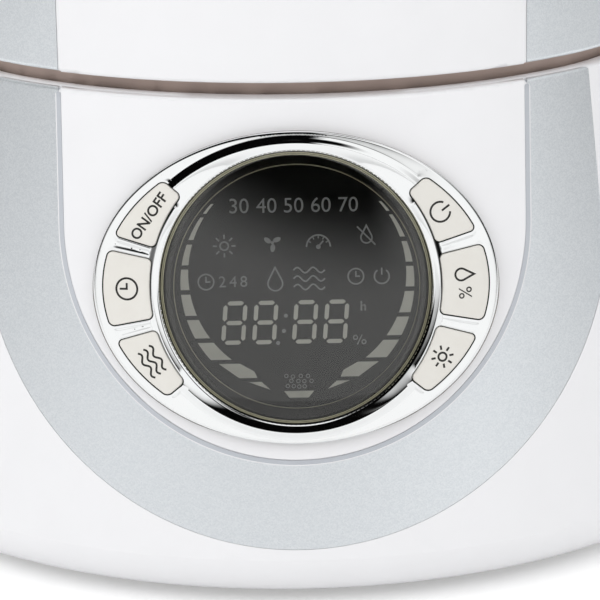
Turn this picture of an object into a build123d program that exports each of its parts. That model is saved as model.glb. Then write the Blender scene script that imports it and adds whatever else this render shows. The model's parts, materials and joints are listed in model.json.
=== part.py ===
from build123d import *
from math import atan2, cos, degrees, hypot, pi, radians, sin, sqrt, tan
import os

# Cool mist humidifier: an oval base with the control panel, a lift-off water tank and a mist nozzle.
# Millimetres, +Z up, the front towards -Y, the origin on the table under the middle of the base.

# Oval outline at the widest level, four tangent arcs
half_depth = 115.0
front_centre_back = 40.0      # the front arc's centre lies this far behind the middle
side_centre_out = 30.0        # the side arc's centre lies this far out from the middle

# Clearances
fit_gap = 0.3                 # between separate mouldings
seat_gap = 0.05               # under trim that is glued in its pocket
slide_gap = 0.6               # round the tank's skirt
bearing_gap = 0.05            # shaft in its bearing

# Base housing
skirt_z = 4.0                 # lower edge of the housing
base_height = 136.0           # from the lower edge to the rim
draft = 12.5                  # lean of the base's walls, degrees
housing_wall = 3.0
bottom_round = 12.0
layer_margin = 1.0            # from the bottom rounding up to where the front's layers start
rim_round = 1.2
lip_thickness = 2.0
lip_round = 0.5
flange_inset = 24.0
flange_thickness = 2.5

# Bottom plate and feet
plate_inset = 15.0
plate_thickness = 3.0
foot_height = 3.5
foot_radius = 8.0
foot_inset = 30.0
foot_round = 0.8
screw_radius = 1.5
screw_head_radius = 3.0
screw_head_height = 1.8
screw_length = 14.0
slot_width = 3.0
slot_pitch = 6.0
slot_count = 8

# Silver band and raised panel, in the plane of the leaning front
panel_drop = 49.6             # from the rim down to the panel's centre
trim_centre_up = 16.3         # centre of the band's round end, above the panel's centre
trim_inner_radius = 64.4
trim_outer_radius = 88.5
trim_thickness = 1.4
trim_gap = 0.15
panel_proud = 1.0
panel_chamfer = 0.9

# Chrome bezel, display and buttons, in the same plane
bezel_half_width = 55.4
bezel_half_height = 42.3
bezel_thickness = 3.0
bezel_round = 1.2
bezel_overlap = 0.9           # of the bezel's edge on the panel
bezel_rim = 2.5               # chrome left outside the buttons
tube_wall = 1.0
ring_width = 2.0              # chrome ring round the display
ring_raise = 0.8
valley_width = 1.9
valley_depth = 1.2
frame_width = 1.1             # raised frame round each button
frame_raise = 0.35
display_radius = 37.3
lens_thickness = 1.6
lens_sink = 0.4
lcd_depth = 3.2               # of the display's face behind the panel plane
lcd_thickness = 2.2
lcd_view_radius = 33.5
shroud_wall = 1.4
holder_radius = 30.0
board_depth = 14.0
board_thickness = 1.6
button_spacing = 28.0         # degrees between neighbours
button_half_angle = 11.5
button_gap = 0.35
button_corner = 1.4
button_proud = 0.3
button_round = 0.4
button_travel = 0.6
button_flange = 1.0
button_flange_thickness = 1.2
stem_radius = 2.0
switch_size = 6.0
switch_height = 3.5
switch_body_height = 2.4
switch_play = 0.1             # left under a pressed button

# Water basin
basin_wall = 2.5
basin_step_drop = 4.0         # from the basin's rim down to the step
bowl_depth = 34.0
bowl_round = 8.0
column_inset = 40.0
column_angle = 18.0
column_radius = 5.0
riser_inner_radius = 12.6
riser_height = 24.0
riser_space = 3.0             # between the mist tube and the riser
valve_post_height = 16.0
valve_post_radius = 4.0

# Mist maker under the basin
transducer_radius = 12.0
transducer_thickness = 1.2
transducer_window = 9.0
seal_wall = 2.0
seal_height = 4.0
clamp_wall = 5.0
clamp_floor = 2.0
clamp_screw_count = 3
clamp_screw_radius = 1.2
clamp_head_radius = 2.4
clamp_head_height = 1.2

# Float
float_radius = 13.0
float_height = 12.0
float_travel = 7.0
float_post_radius = 2.5
float_play = 0.5
retainer_radius = 6.0
retainer_thickness = 2.0

# Fan and duct
fan_size = 60.0
fan_thickness = 15.0
fan_hole_radius = 28.5
fan_corner = 3.0
fan_screw_spacing = 50.0
fan_post_height = 8.0
fan_post_radius = 3.5
fan_screw_grip = 4.5          # of the screws in their posts
fan_spoke_width = 4.0
fan_spoke_height = 2.5
fan_hub_radius = 13.0
fan_tip_gap = 0.6
fan_blade_count = 7
fan_blade_chord = 13.0
fan_blade_thickness = 1.4
fan_blade_root_pitch = 50.0
fan_blade_tip_pitch = 30.0
fan_shaft_radius = 1.5
duct_wall = 2.4
duct_cone_height = 34.0

# Electronics
board_post_radius = 3.0
board_post_height = 12.0
board_edge = 5.0              # from a board's edge to its posts
circuit_side_gap = 4.0        # between the boards and the pillars
circuit_space = 4.0           # between the boards and the fan
circuit_width = 50.0
circuit_length = 70.0
sink_width = 30.0
sink_length = 26.0
sink_height = 22.0
sink_base = 4.0
sink_fin_count = 6
sink_fin_thickness = 1.8
transformer_width = 32.0
transformer_length = 27.0
transformer_height = 24.0
winding_radius = 10.0
winding_proud = 4.0
capacitor_radius = 5.0
capacitor_height = 18.0
capacitor_spacing = 13.0
capacitor_space = 1.0         # between the winding and the capacitors
sensor_width = 16.0
sensor_height = 18.0
sensor_depth = 5.0
sensor_z = 70.0
sensor_slot_width = 1.8
sensor_slot_pitch = 3.6
sensor_slot_count = 4
sensor_slot_length = 13.0

# Grommet for the lead, in a round cup at the back
gland_z = 30.0
gland_recess_radius = 11.0
gland_recess_wall = 1.5
gland_recess_floor = 2.5
gland_recess_depth = 10.0     # from the outline's widest reach to the cup's floor
gland_recess_draft = 3.0      # degrees, so that the cup draws out of its mould
gland_radius = 6.3
gland_flange_radius = 9.0
gland_flange_thickness = 2.5
gland_bore_radius = 3.6
gland_round = 0.8

# Tank
tank_gap = 4.1                # shadow gap between base and tank
tank_height = 178.0
tank_draft = 6.0
tank_wall = 2.5
tank_shoulder = 22.0
tank_top_inset = 80.0         # where the shoulder's moulding meets the flat top
tank_floor_thickness = 3.0
tank_foot_round = 1.2
arch_centre_up = 56.0         # centre of the band's round top, above the tank's lower edge
field_proud = 1.0
mist_tube_radius = 20.0
mist_tube_wall = 2.0
mist_tube_lift = 6.0          # above the basin's floor
mist_tube_notch_width = 9.0
mist_tube_notch_height = 9.0
mist_tube_notch_count = 4

# Tank cap and valve
cap_space = 3.7               # between the mist tube and the cap
cap_side_gap = 5.7            # between the cap and the bowl's wall
neck_radius = 18.0
neck_wall = 2.5
neck_length = 14.0
neck_flange = 3.0
neck_flange_thickness = 2.0
cap_wall = 2.7
cap_plate = 3.0
cap_seal_thickness = 2.5
cap_rib_count = 24
cap_rib_radius = 0.8
cap_reach = 11.0              # of the cap's skirt up round the neck
valve_lift = 5.0
valve_port_radius = 8.0
valve_head_radius = 10.0
valve_head_thickness = 2.0
valve_stem_radius = 2.5
valve_stem_gap = 0.3
valve_stem_spare = 2.0        # of the stem above the cage with the valve shut
valve_washer_radius = 11.0
valve_washer_thickness = 1.5
valve_spider_width = 3.0
valve_hub_radius = 4.5
cage_leg_count = 3
cage_gap = 1.2                # between the cage and the neck
cage_wall = 2.6
cage_top = 2.0
cage_window = 17.0
spring_radius = 6.0
spring_wire_radius = 0.6
spring_length = 13.0
spring_turns = 5
spring_points_per_turn = 4

# Nozzle
seat_flange_radius = 36.0
seat_flange_thickness = 2.5
spigot_length = 18.0
spigot_wall = 2.2
spigot_gap = 0.4
upstand_height = 5.5
upstand_wall = 2.0
nozzle_wall = 2.4
nozzle_height = 23.0
nozzle_round = 16.0
spout_angle = 55.0            # from upright
spout_radius = 10.0
spout_wall = 2.0
spout_length = 36.0
spout_round = 0.8
trim_ring_width = 2.3
trim_ring_height = 3.5
trim_ring_round = 1.0

# Sizes that follow from the ones above
half_width = half_depth + front_centre_back + side_centre_out - hypot(front_centre_back, side_centre_out)
front_radius = half_depth + front_centre_back
side_radius = half_width - side_centre_out
corner_angle = degrees(atan2(front_centre_back, side_centre_out))
front_sweep = 180 - 2 * corner_angle
side_sweep = 2 * corner_angle
outline_arcs = (
    ((0, front_centre_back), front_radius, corner_angle - 180, front_sweep),
    ((side_centre_out, 0), side_radius, -corner_angle, side_sweep),
    ((0, -front_centre_back), front_radius, corner_angle, front_sweep),
    ((-side_centre_out, 0), side_radius, 180 - corner_angle, side_sweep),
)
wide_z = skirt_z + bottom_round
rim_z = skirt_z + base_height
panel_z = rim_z - panel_drop
draft_cos = cos(radians(draft))
draft_sin = sin(radians(draft))
wall_across = housing_wall / draft_cos
plate_bottom = foot_height
plate_top = plate_bottom + plate_thickness
flange_top = plate_top + flange_thickness
basin_top = rim_z - lip_thickness
step_z = basin_top - basin_step_drop
bowl_floor_z = step_z - bowl_depth
bowl_under_z = bowl_floor_z - basin_wall
tank_foot_z = rim_z + tank_gap
tank_top_z = tank_foot_z + tank_height
tank_ceiling_z = tank_top_z - tank_wall
tank_across = tank_wall / cos(radians(tank_draft))
mist_tube_outer = mist_tube_radius + mist_tube_wall
neck_outer_radius = neck_radius + neck_wall
cap_inner_radius = neck_outer_radius + fit_gap
cap_outer_radius = cap_inner_radius + cap_wall
cap_reach_radius = cap_outer_radius + cap_rib_radius
cap_x = mist_tube_outer + cap_space + cap_reach_radius
bowl_inset = half_width - cap_x - cap_reach_radius - cap_side_gap
float_x = -cap_x
riser_outer_radius = riser_inner_radius + duct_wall
fan_y = mist_tube_outer + riser_space + riser_outer_radius
fan_low = plate_top + fan_post_height
fan_high = fan_low + fan_thickness
circuit_x = side_centre_out + (side_radius - column_inset) * cos(radians(column_angle))
circuit_x -= column_radius + circuit_side_gap + circuit_width / 2
circuit_y = fan_y - fan_size / 2 - circuit_space - circuit_length / 2
circuit_z = plate_top + board_post_height
circuit_top = circuit_z + board_thickness
bezel_face = panel_proud + bezel_thickness
ring_outer_radius = display_radius + ring_width
button_inner_radius = ring_outer_radius + button_gap
button_half_width = bezel_half_width - bezel_rim - button_gap
button_half_height = bezel_half_height - bezel_rim - button_gap
tube_half_width = bezel_half_width - bezel_overlap - fit_gap
tube_half_height = bezel_half_height - bezel_overlap - fit_gap
layer_low = wide_z + layer_margin
deep_reach = 30.0             # cuts and prisms start this far behind the panel plane
out_reach = 12.0              # and end this far in front of it
button_names = {
    "power_button": 180 - button_spacing,
    "timer_button": 180,
    "mist_button": 180 + button_spacing,
    "auto_off_button": button_spacing,
    "humidity_button": 0,
    "dim_button": -button_spacing,
}


def lean(z):
    # How far the base's outer face has drawn in at a height
    return (z - wide_z) * tan(radians(draft))


def tank_lean(z):
    # The same for the tank, which carries the base's line on across the gap
    return lean(tank_foot_z) + (z - tank_foot_z) * tan(radians(tank_draft))


basin_outer_inset = lean(rim_z) + wall_across + fit_gap
basin_inner_inset = basin_outer_inset + basin_wall
skirt_inset = basin_inner_inset + slide_gap
lip_inset = basin_inner_inset - fit_gap
panel_plane = Plane(
    origin=(0, lean(panel_z) - half_depth, panel_z),
    x_dir=(1, 0, 0),
    z_dir=(0, -draft_cos, draft_sin),
)
front_plane = Plane(origin=(0, -half_depth, 0), x_dir=(1, 0, 0), z_dir=(0, -1, 0))
base_plan = (Align.CENTER, Align.CENTER, Align.MIN)


def disc(radius, low, high, x=0.0, y=0.0):
    return Pos(x, y, low) * Cylinder(radius, high - low, align=base_plan)


def tube(outer, inner, low, high, x=0.0, y=0.0):
    return disc(outer, low, high, x, y) - disc(inner, low, high, x, y)


def block(width, length, low, high, x=0.0, y=0.0):
    return Pos(x, y, low) * Box(width, length, high - low, align=base_plan)


def turned(corners, x=0.0, y=0.0):
    # A body turned about an upright axis, from corners of radius, height and rounding
    outline = FilletPolyline(
        *[(radius, z) for radius, z, _ in corners],
        radius=[rounding for *_, rounding in corners],
        close=True,
    )
    return Pos(x, y, 0) * revolve(Plane.XZ * make_face(outline), Axis.Z)


def oval_ring(*corners):
    # A wall swept round the oval, from corners of inset, height and rounding
    ring = Part()
    for centre, radius, start, sweep in outline_arcs:
        outward = (cos(radians(start)), sin(radians(start)), 0)
        across = (sin(radians(start)), -cos(radians(start)), 0)
        plane = Plane(origin=(*centre, 0), x_dir=outward, z_dir=across)
        outline = FilletPolyline(
            *[(radius - inset, z) for inset, z, _ in corners],
            radius=[rounding for *_, rounding in corners],
            close=True,
        )
        ring += revolve(plane * make_face(outline), Axis((*centre, 0), (0, 0, 1)), sweep)
    return ring


def oval_plate(inset, low, high):
    edges = [CenterArc(centre, radius - inset, start, sweep)
             for centre, radius, start, sweep in outline_arcs]
    return extrude(Pos(0, 0, low) * make_face(edges), high - low)


def side_point(inset, angle):
    # A place on the right side's arc, drawn in from the outline
    return (
        side_centre_out + (side_radius - inset) * cos(radians(angle)),
        (side_radius - inset) * sin(radians(angle)),
    )


def four_ways(x, y):
    return [(side * x, end * y) for side in (-1, 1) for end in (-1, 1)]


def base_layer(deep, out, high=rim_z, rounding=0.0):
    # A slice of the base's wall between two offsets from its outer face, outward positive
    near = out / draft_cos
    far = deep / draft_cos
    return oval_ring(
        (lean(layer_low) - near, layer_low, 0),
        (lean(high) - near, high, rounding),
        (lean(high) - far, high, 0),
        (lean(layer_low) - far, layer_low, 0),
    )


def tank_layer(deep, out, rounding=0.0):
    # The same slice of the tank's wall
    return oval_ring(
        (tank_lean(tank_foot_z) - out, tank_foot_z, rounding),
        (tank_lean(tank_ceiling_z) - out, tank_ceiling_z, 0),
        (tank_lean(tank_ceiling_z) - deep, tank_ceiling_z, 0),
        (tank_lean(tank_foot_z) - deep, tank_foot_z, 0),
    )


def through_panel(outline, deep=-deep_reach, out=out_reach):
    # A prism square to the leaning front, between two heights above the panel plane
    return extrude(panel_plane.offset(deep) * outline, out - deep)


def base_trim_outline(radius):
    # Round bottom with straight legs that run past the rim
    leg = base_height
    legs = Pos(0, trim_centre_up + leg / 2) * Rectangle(2 * radius, leg)
    return Pos(0, trim_centre_up) * Circle(radius) + legs


def tank_trim_outline(radius):
    # Round top with straight legs that run past the tank's lower edge
    leg = arch_centre_up + tank_gap
    centre = tank_foot_z + arch_centre_up
    legs = Pos(0, centre - leg / 2) * Rectangle(2 * radius, leg)
    return Pos(0, centre) * Circle(radius) + legs


def through_tank_front(outline):
    return extrude(front_plane.offset(-half_depth) * outline, 2 * half_depth)


def outer_face(solid):
    # The larger curved face that looks forward
    return solid.faces().sort_by(SortBy.AREA)[-2:].sort_by(Axis.Y)[0]


def bezel_ellipse(inset=0.0):
    return Ellipse(bezel_half_width - inset, bezel_half_height - inset)


def button_outline(angle, gap=0.0, side=0.0):
    # The space between the display ring and the bezel's rim, cut by a wedge
    spread = gap + side
    apex = -spread / sin(radians(button_half_angle))
    reach = 2 * bezel_half_width
    wedge = Polygon(
        (apex, 0),
        (apex + reach * cos(radians(button_half_angle)), -reach * sin(radians(button_half_angle))),
        (apex + reach * cos(radians(button_half_angle)), reach * sin(radians(button_half_angle))),
        align=None,
    )
    ring = Ellipse(button_half_width + gap, button_half_height + gap) - Circle(button_inner_radius - gap)
    outline = ring & (Rot(0, 0, angle) * wedge)
    return fillet(outline.vertices(), button_corner)


def button_centre(angle):
    # Halfway between the display ring and the bezel's rim
    turn = radians(angle)
    rim = 1 / sqrt((cos(turn) / button_half_width) ** 2 + (sin(turn) / button_half_height) ** 2)
    middle = (button_inner_radius + rim) / 2
    return middle * cos(turn), middle * sin(turn)


def make_base_housing():
    shell = oval_ring(
        (lean(skirt_z), skirt_z, bottom_round),
        (lean(rim_z), rim_z, rim_round),
        (lip_inset, rim_z, lip_round),
        (lip_inset, basin_top, 0),
        (lean(basin_top) + wall_across, basin_top, 0),
        (lean(flange_top) + wall_across, flange_top, bottom_round - housing_wall),
        (flange_inset, flange_top, 0),
        (flange_inset, plate_top, 0),
        (plate_inset - fit_gap, plate_top, 0),
        (plate_inset - fit_gap, skirt_z, 0),
    )
    trim_pocket = base_layer(-trim_thickness, out_reach, high=rim_z + tank_gap)
    shell -= trim_pocket & through_panel(base_trim_outline(trim_outer_radius + trim_gap))
    shell -= through_panel(bezel_ellipse(bezel_overlap))
    shell -= gland_cone(cup_radius + fit_gap, cup_inner_end, half_depth + out_reach)
    return cut_sensor_slots(shell)


def gland_disc(radius, inner_end, outer_end):
    plane = Plane((0, inner_end, gland_z), z_dir=(0, 1, 0))
    return plane * Cylinder(radius, outer_end - inner_end, align=base_plan)


def gland_cone(radius, inner_end, outer_end):
    # Wider towards the outside by the cup's draft
    plane = Plane((0, inner_end, gland_z), z_dir=(0, 1, 0))
    length = outer_end - inner_end
    return plane * Cone(radius, radius + length * tan(radians(gland_recess_draft)), length, align=base_plan)


gland_floor_y = half_depth - gland_recess_depth
cup_inner_end = gland_floor_y - gland_recess_floor
cup_radius = gland_recess_radius + gland_recess_wall


def make_cord_cup():
    cup = gland_cone(cup_radius, cup_inner_end, half_depth) & base_layer(-deep_reach, 0)
    cup -= gland_cone(gland_recess_radius, gland_floor_y, half_depth)
    return cup - gland_disc(gland_radius, cup_inner_end, gland_floor_y)


def cut_sensor_slots(shell):
    slot = Box(half_width, sensor_slot_width, sensor_slot_length)
    for index in range(sensor_slot_count):
        y = (index - (sensor_slot_count - 1) / 2) * sensor_slot_pitch
        shell -= Pos(half_width, y, sensor_z) * slot
    return shell


def make_bottom_plate():
    plate = oval_plate(plate_inset, plate_bottom, plate_top)
    for x, y in four_ways(fan_screw_spacing / 2, fan_screw_spacing / 2):
        plate += disc(fan_post_radius, plate_top, fan_low, x, fan_y + y)
    for x, y in circuit_posts():
        plate += disc(board_post_radius, plate_top, circuit_z, x, y)
    for x, y in column_places():
        plate -= disc(screw_radius + fit_gap, plate_bottom, plate_top, x, y)
        plate -= disc(screw_head_radius + fit_gap, plate_bottom, plate_bottom + screw_head_height, x, y)
    for x, y in four_ways(fan_screw_spacing / 2, fan_screw_spacing / 2):
        plate -= disc(screw_radius, plate_top, fan_low, x, fan_y + y)
    vents = Part()
    for index in range(slot_count):
        x = (index - (slot_count - 1) / 2) * slot_pitch
        length = 2 * sqrt(fan_hole_radius ** 2 - x ** 2) - 2 * slot_width
        slot = Pos(x, fan_y, plate_bottom) * (Rot(0, 0, 90) * SlotOverall(length, slot_width))
        vents += extrude(slot, plate_thickness)
    return plate - vents


def column_places():
    return four_ways(*side_point(column_inset, column_angle))


def circuit_posts():
    across = circuit_width / 2 - board_edge
    along = circuit_length / 2 - board_edge
    return [(side * circuit_x + x, circuit_y + y) for side in (-1, 1) for x, y in four_ways(across, along)]


def make_base_screws():
    screws = Part()
    for x, y in column_places():
        head_top = plate_bottom + screw_head_height
        screws += disc(screw_head_radius, plate_bottom, head_top, x, y) + disc(
            screw_radius, head_top, plate_bottom + screw_length, x, y)
    return screws


def make_foot(side, end):
    x, y = side_point(foot_inset, corner_angle)
    corners = (
        (0, 0, 0),
        (foot_radius, 0, foot_round),
        (foot_radius, foot_height, 0),
        (0, foot_height, 0),
    )
    return turned(corners, side * x, end * y)


def make_base_trim_band():
    outline = base_trim_outline(trim_outer_radius) - base_trim_outline(trim_inner_radius)
    return base_layer(seat_gap - trim_thickness, 0, rounding=rim_round) & through_panel(outline)


def make_front_panel():
    field = base_layer(seat_gap - trim_thickness, panel_proud, rounding=rim_round)
    field &= through_panel(base_trim_outline(trim_inner_radius - trim_gap))
    edges = outer_face(field).edges().filter_by(lambda edge: edge.center().Z < rim_z - 2 * rim_round)
    field = chamfer(edges, panel_chamfer)
    return field - through_panel(bezel_ellipse(bezel_overlap))


def make_control_bezel():
    plate = base_layer(panel_proud + seat_gap, bezel_face) & through_panel(bezel_ellipse())
    plate = fillet(outer_face(plate).edges(), bezel_round)
    collar = Ellipse(tube_half_width, tube_half_height)
    collar -= Ellipse(tube_half_width - tube_wall, tube_half_height - tube_wall)
    inside = base_layer(-deep_reach, bezel_face - bezel_round)
    bezel = plate + (through_panel(collar, -board_depth) & inside)
    bezel -= base_layer(bezel_face - valley_depth, out_reach) & through_panel(
        Circle(ring_outer_radius + valley_width) - Circle(display_radius))
    ring = Circle(ring_outer_radius) - Circle(display_radius)
    ring_layer = base_layer(-deep_reach, bezel_face + ring_raise)
    bezel += through_panel(ring, -lcd_depth - lcd_thickness) & ring_layer
    frame_layer = base_layer(panel_proud + seat_gap, bezel_face + frame_raise)
    for angle in button_names.values():
        bezel += frame_layer & through_panel(button_outline(angle, gap=button_gap + frame_width))
    for angle in button_names.values():
        bezel -= through_panel(button_outline(angle, gap=button_gap))
    return bezel - through_panel(Circle(display_radius))


def make_button(angle):
    flange_face = panel_proud - button_gap
    cap = base_layer(flange_face, bezel_face + button_proud) & through_panel(button_outline(angle))
    cap = fillet(outer_face(cap).edges(), button_round)
    flange = base_layer(flange_face - button_flange_thickness, flange_face)
    flange &= through_panel(button_outline(angle, side=button_flange))
    stem_end = switch_height + button_travel + switch_play - board_depth
    stem = through_panel(Pos(*button_centre(angle)) * Circle(stem_radius), stem_end)
    return cap + flange + (stem & base_layer(-deep_reach, flange_face))


def make_display_lens():
    face = bezel_face - lens_sink
    return base_layer(face - lens_thickness, face) & through_panel(Circle(display_radius - fit_gap))


def make_display_shroud():
    top = bezel_face - lens_sink - lens_thickness - seat_gap
    outer = display_radius - fit_gap
    ring = through_panel(Circle(outer), -lcd_depth) & base_layer(-deep_reach, top)
    funnel = Cone(lcd_view_radius, outer - shroud_wall, top + lcd_depth, align=base_plan)
    return ring - panel_plane.offset(-lcd_depth) * funnel


def make_lcd_panel():
    return through_panel(Circle(display_radius - fit_gap), -lcd_depth - lcd_thickness, -lcd_depth)


def make_lcd_holder():
    return through_panel(Circle(holder_radius), -board_depth, -lcd_depth - lcd_thickness)


def make_control_board():
    outline = Ellipse(tube_half_width, tube_half_height)
    return through_panel(outline, -board_depth - board_thickness, -board_depth)


def make_tact_switches():
    switches = Part()
    for angle in button_names.values():
        place = Pos(*button_centre(angle))
        body_top = switch_body_height - board_depth
        body = through_panel(place * Rectangle(switch_size, switch_size), -board_depth, body_top)
        switches += body + through_panel(place * Circle(stem_radius), body_top, switch_height - board_depth)
    return switches


def make_water_basin():
    floor_overlap = bowl_inset + bowl_round + basin_wall
    basin = oval_ring(
        (basin_outer_inset, basin_top, 0),
        (basin_inner_inset, basin_top, 0),
        (basin_inner_inset, step_z, 0),
        (bowl_inset, step_z, basin_wall),
        (bowl_inset, bowl_floor_z, bowl_round),
        (floor_overlap, bowl_floor_z, 0),
        (floor_overlap, bowl_under_z, 0),
        (bowl_inset - basin_wall, bowl_under_z, bowl_round + basin_wall),
        (bowl_inset - basin_wall, step_z - basin_wall, 0),
        (basin_outer_inset, step_z - basin_wall, 0),
    )
    basin += oval_plate(floor_overlap - seat_gap, bowl_under_z, bowl_floor_z)
    basin -= disc(riser_outer_radius + seat_gap, bowl_under_z, bowl_floor_z + riser_height, 0, fan_y)
    basin += disc(float_post_radius, bowl_floor_z, float_post_top(), float_x)
    basin += disc(valve_post_radius, bowl_floor_z, bowl_floor_z + valve_post_height, cap_x)
    return basin - disc(transducer_window, bowl_under_z, bowl_floor_z)


def make_air_riser():
    high = bowl_floor_z + riser_height
    return tube(riser_outer_radius, riser_inner_radius, bowl_under_z, high, 0, fan_y)


def make_basin_pillars():
    pillars = Part()
    for x, y in column_places():
        pillar = disc(column_radius, plate_top, step_z - basin_wall, x, y)
        pillars += pillar - disc(screw_radius, plate_top, plate_bottom + screw_length, x, y)
    return pillars - oval_plate(bowl_inset - basin_wall - fit_gap, bowl_under_z, step_z)  # clear of the bowl


def float_post_top():
    return bowl_floor_z + float_height + float_travel + 2 * float_play


def make_float_retainer():
    low = float_post_top()
    return disc(retainer_radius, low, low + retainer_thickness, float_x)


def make_water_float():
    low = bowl_floor_z + float_play
    corners = (
        (float_post_radius + fit_gap, low, 0),
        (float_radius, low, 2 * float_play),
        (float_radius, low + float_height, 2 * float_play),
        (float_post_radius + fit_gap, low + float_height, 0),
    )
    return turned(corners, float_x)


seal_outer_radius = transducer_radius + seal_wall
clamp_outer_radius = seal_outer_radius + clamp_wall
seal_low = bowl_under_z - seal_height
disc_low = bowl_under_z - seal_height / 2 - transducer_thickness / 2


def make_transducer_disc():
    return disc(transducer_radius, disc_low, disc_low + transducer_thickness)


def make_transducer_seal():
    return tube(seal_outer_radius, transducer_window, seal_low, bowl_under_z) - make_transducer_disc()


def clamp_screw_places():
    radius = (seal_outer_radius + clamp_outer_radius) / 2
    turns = [2 * pi * index / clamp_screw_count for index in range(clamp_screw_count)]
    return [(radius * cos(turn), radius * sin(turn)) for turn in turns]


def make_transducer_clamp():
    low = seal_low - clamp_floor
    clamp = disc(clamp_outer_radius, low, bowl_under_z)
    clamp -= disc(seal_outer_radius, seal_low, bowl_under_z) + disc(transducer_window, low, seal_low)
    for x, y in clamp_screw_places():
        clamp -= disc(clamp_screw_radius, low, bowl_under_z, x, y)
    return clamp


def make_transducer_screws():
    low = seal_low - clamp_floor
    screws = Part()
    for x, y in clamp_screw_places():
        head = disc(clamp_head_radius, low - clamp_head_height, low, x, y)
        screws += head + disc(clamp_screw_radius, low, bowl_under_z, x, y)
    return screws


def make_fan_frame():
    outline = RectangleRounded(fan_size, fan_size, fan_corner)
    frame = extrude(Pos(0, fan_y, fan_low) * outline, fan_thickness)
    frame -= disc(fan_hole_radius, fan_low, fan_high, 0, fan_y)
    spoke = block(2 * fan_hole_radius + fan_corner, fan_spoke_width, fan_low, fan_low + fan_spoke_height)
    frame += Pos(0, fan_y, 0) * (spoke + Rot(0, 0, 90) * spoke)
    frame += disc(fan_hub_radius, fan_low, fan_low + fan_spoke_height, 0, fan_y)
    frame -= disc(fan_shaft_radius + bearing_gap, fan_low, fan_low + fan_spoke_height, 0, fan_y)
    for x, y in four_ways(fan_screw_spacing / 2, fan_screw_spacing / 2):
        frame -= disc(screw_radius + bearing_gap, fan_low, fan_high, x, fan_y + y)
    return frame


def make_fan_screws():
    screws = Part()
    for x, y in four_ways(fan_screw_spacing / 2, fan_screw_spacing / 2):
        shank = disc(screw_radius, fan_low - fan_screw_grip, fan_high, x, fan_y + y)
        screws += shank + disc(screw_head_radius, fan_high, fan_high + screw_head_height, x, fan_y + y)
    return screws


def make_fan_impeller():
    low = fan_low + fan_spoke_height + fit_gap
    high = fan_high - fit_gap
    middle = (low + high) / 2
    tip = fan_hole_radius - fan_tip_gap
    root = fan_hub_radius - fan_blade_thickness
    blade = loft([
        Plane((root, 0, middle), x_dir=(0, 1, 0), z_dir=(1, 0, 0)) * (
            Rot(0, 0, fan_blade_root_pitch) * Rectangle(fan_blade_chord, fan_blade_thickness)),
        Plane((tip, 0, middle), x_dir=(0, 1, 0), z_dir=(1, 0, 0)) * (
            Rot(0, 0, fan_blade_tip_pitch) * Rectangle(fan_blade_chord, fan_blade_thickness)),
    ])
    blades = Part()
    for index in range(fan_blade_count):
        blades += Rot(0, 0, 360 * index / fan_blade_count) * blade
    impeller = (blades & disc(tip, low, high)) + disc(fan_hub_radius, low, high)
    impeller += disc(fan_shaft_radius, fan_low, low)
    return Pos(0, fan_y, 0) * impeller


def make_air_duct():
    mouth = fan_hole_radius
    cone_top = fan_high + duct_cone_height
    corners = (
        (mouth, fan_high, 0),
        (mouth + duct_wall, fan_high, 0),
        (mouth + duct_wall, fan_high + duct_wall, 0),
        (riser_outer_radius, cone_top, 0),
        (riser_outer_radius, bowl_under_z, 0),
        (riser_inner_radius, bowl_under_z, 0),
        (riser_inner_radius, cone_top, 0),
        (mouth, fan_high + duct_wall, 0),
    )
    return turned(corners, 0, fan_y)


def make_circuit_board(side):
    return block(circuit_width, circuit_length, circuit_z, circuit_top, side * circuit_x, circuit_y)


def make_heat_sink():
    sink = block(sink_width, sink_length, circuit_top, circuit_top + sink_base, -circuit_x, circuit_y)
    for index in range(sink_fin_count):
        share = index / (sink_fin_count - 1) - 0.5
        x = share * (sink_width - sink_fin_thickness) - circuit_x
        sink += block(sink_fin_thickness, sink_length, circuit_top, circuit_top + sink_height, x, circuit_y)
    return sink


def make_transformer():
    core_top = circuit_top + transformer_height
    core = block(transformer_width, transformer_length, circuit_top, core_top, circuit_x, circuit_y)
    winding = Cylinder(winding_radius, transformer_length + 2 * winding_proud)
    place = Pos(circuit_x, circuit_y, circuit_top + transformer_height / 2)
    return core + place * (Rot(90, 0, 0) * winding)


def make_capacitors():
    y = circuit_y - transformer_length / 2 - winding_proud - capacitor_radius - capacitor_space
    capacitors = Part()
    for place in (-1, 0, 1):
        x = circuit_x + place * capacitor_spacing
        capacitors += disc(capacitor_radius, circuit_top, circuit_top + capacitor_height, x, y)
    return capacitors


def make_humidity_sensor():
    body = base_layer(-housing_wall - sensor_depth, -housing_wall - seat_gap)
    return body & (Pos(half_width, 0, sensor_z) * Box(half_width, sensor_width, sensor_height))


def make_cord_gland():
    gland = gland_disc(gland_flange_radius, gland_floor_y, gland_floor_y + gland_flange_thickness)
    gland = fillet(gland.edges().sort_by(Axis.Y)[-1], gland_round)
    gland += gland_disc(gland_radius, cup_inner_end, gland_floor_y)
    gland_inner_end = cup_inner_end - gland_flange_thickness
    gland += gland_disc(gland_flange_radius, gland_inner_end, cup_inner_end)
    return gland - gland_disc(gland_bore_radius, gland_inner_end, half_depth)


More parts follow.
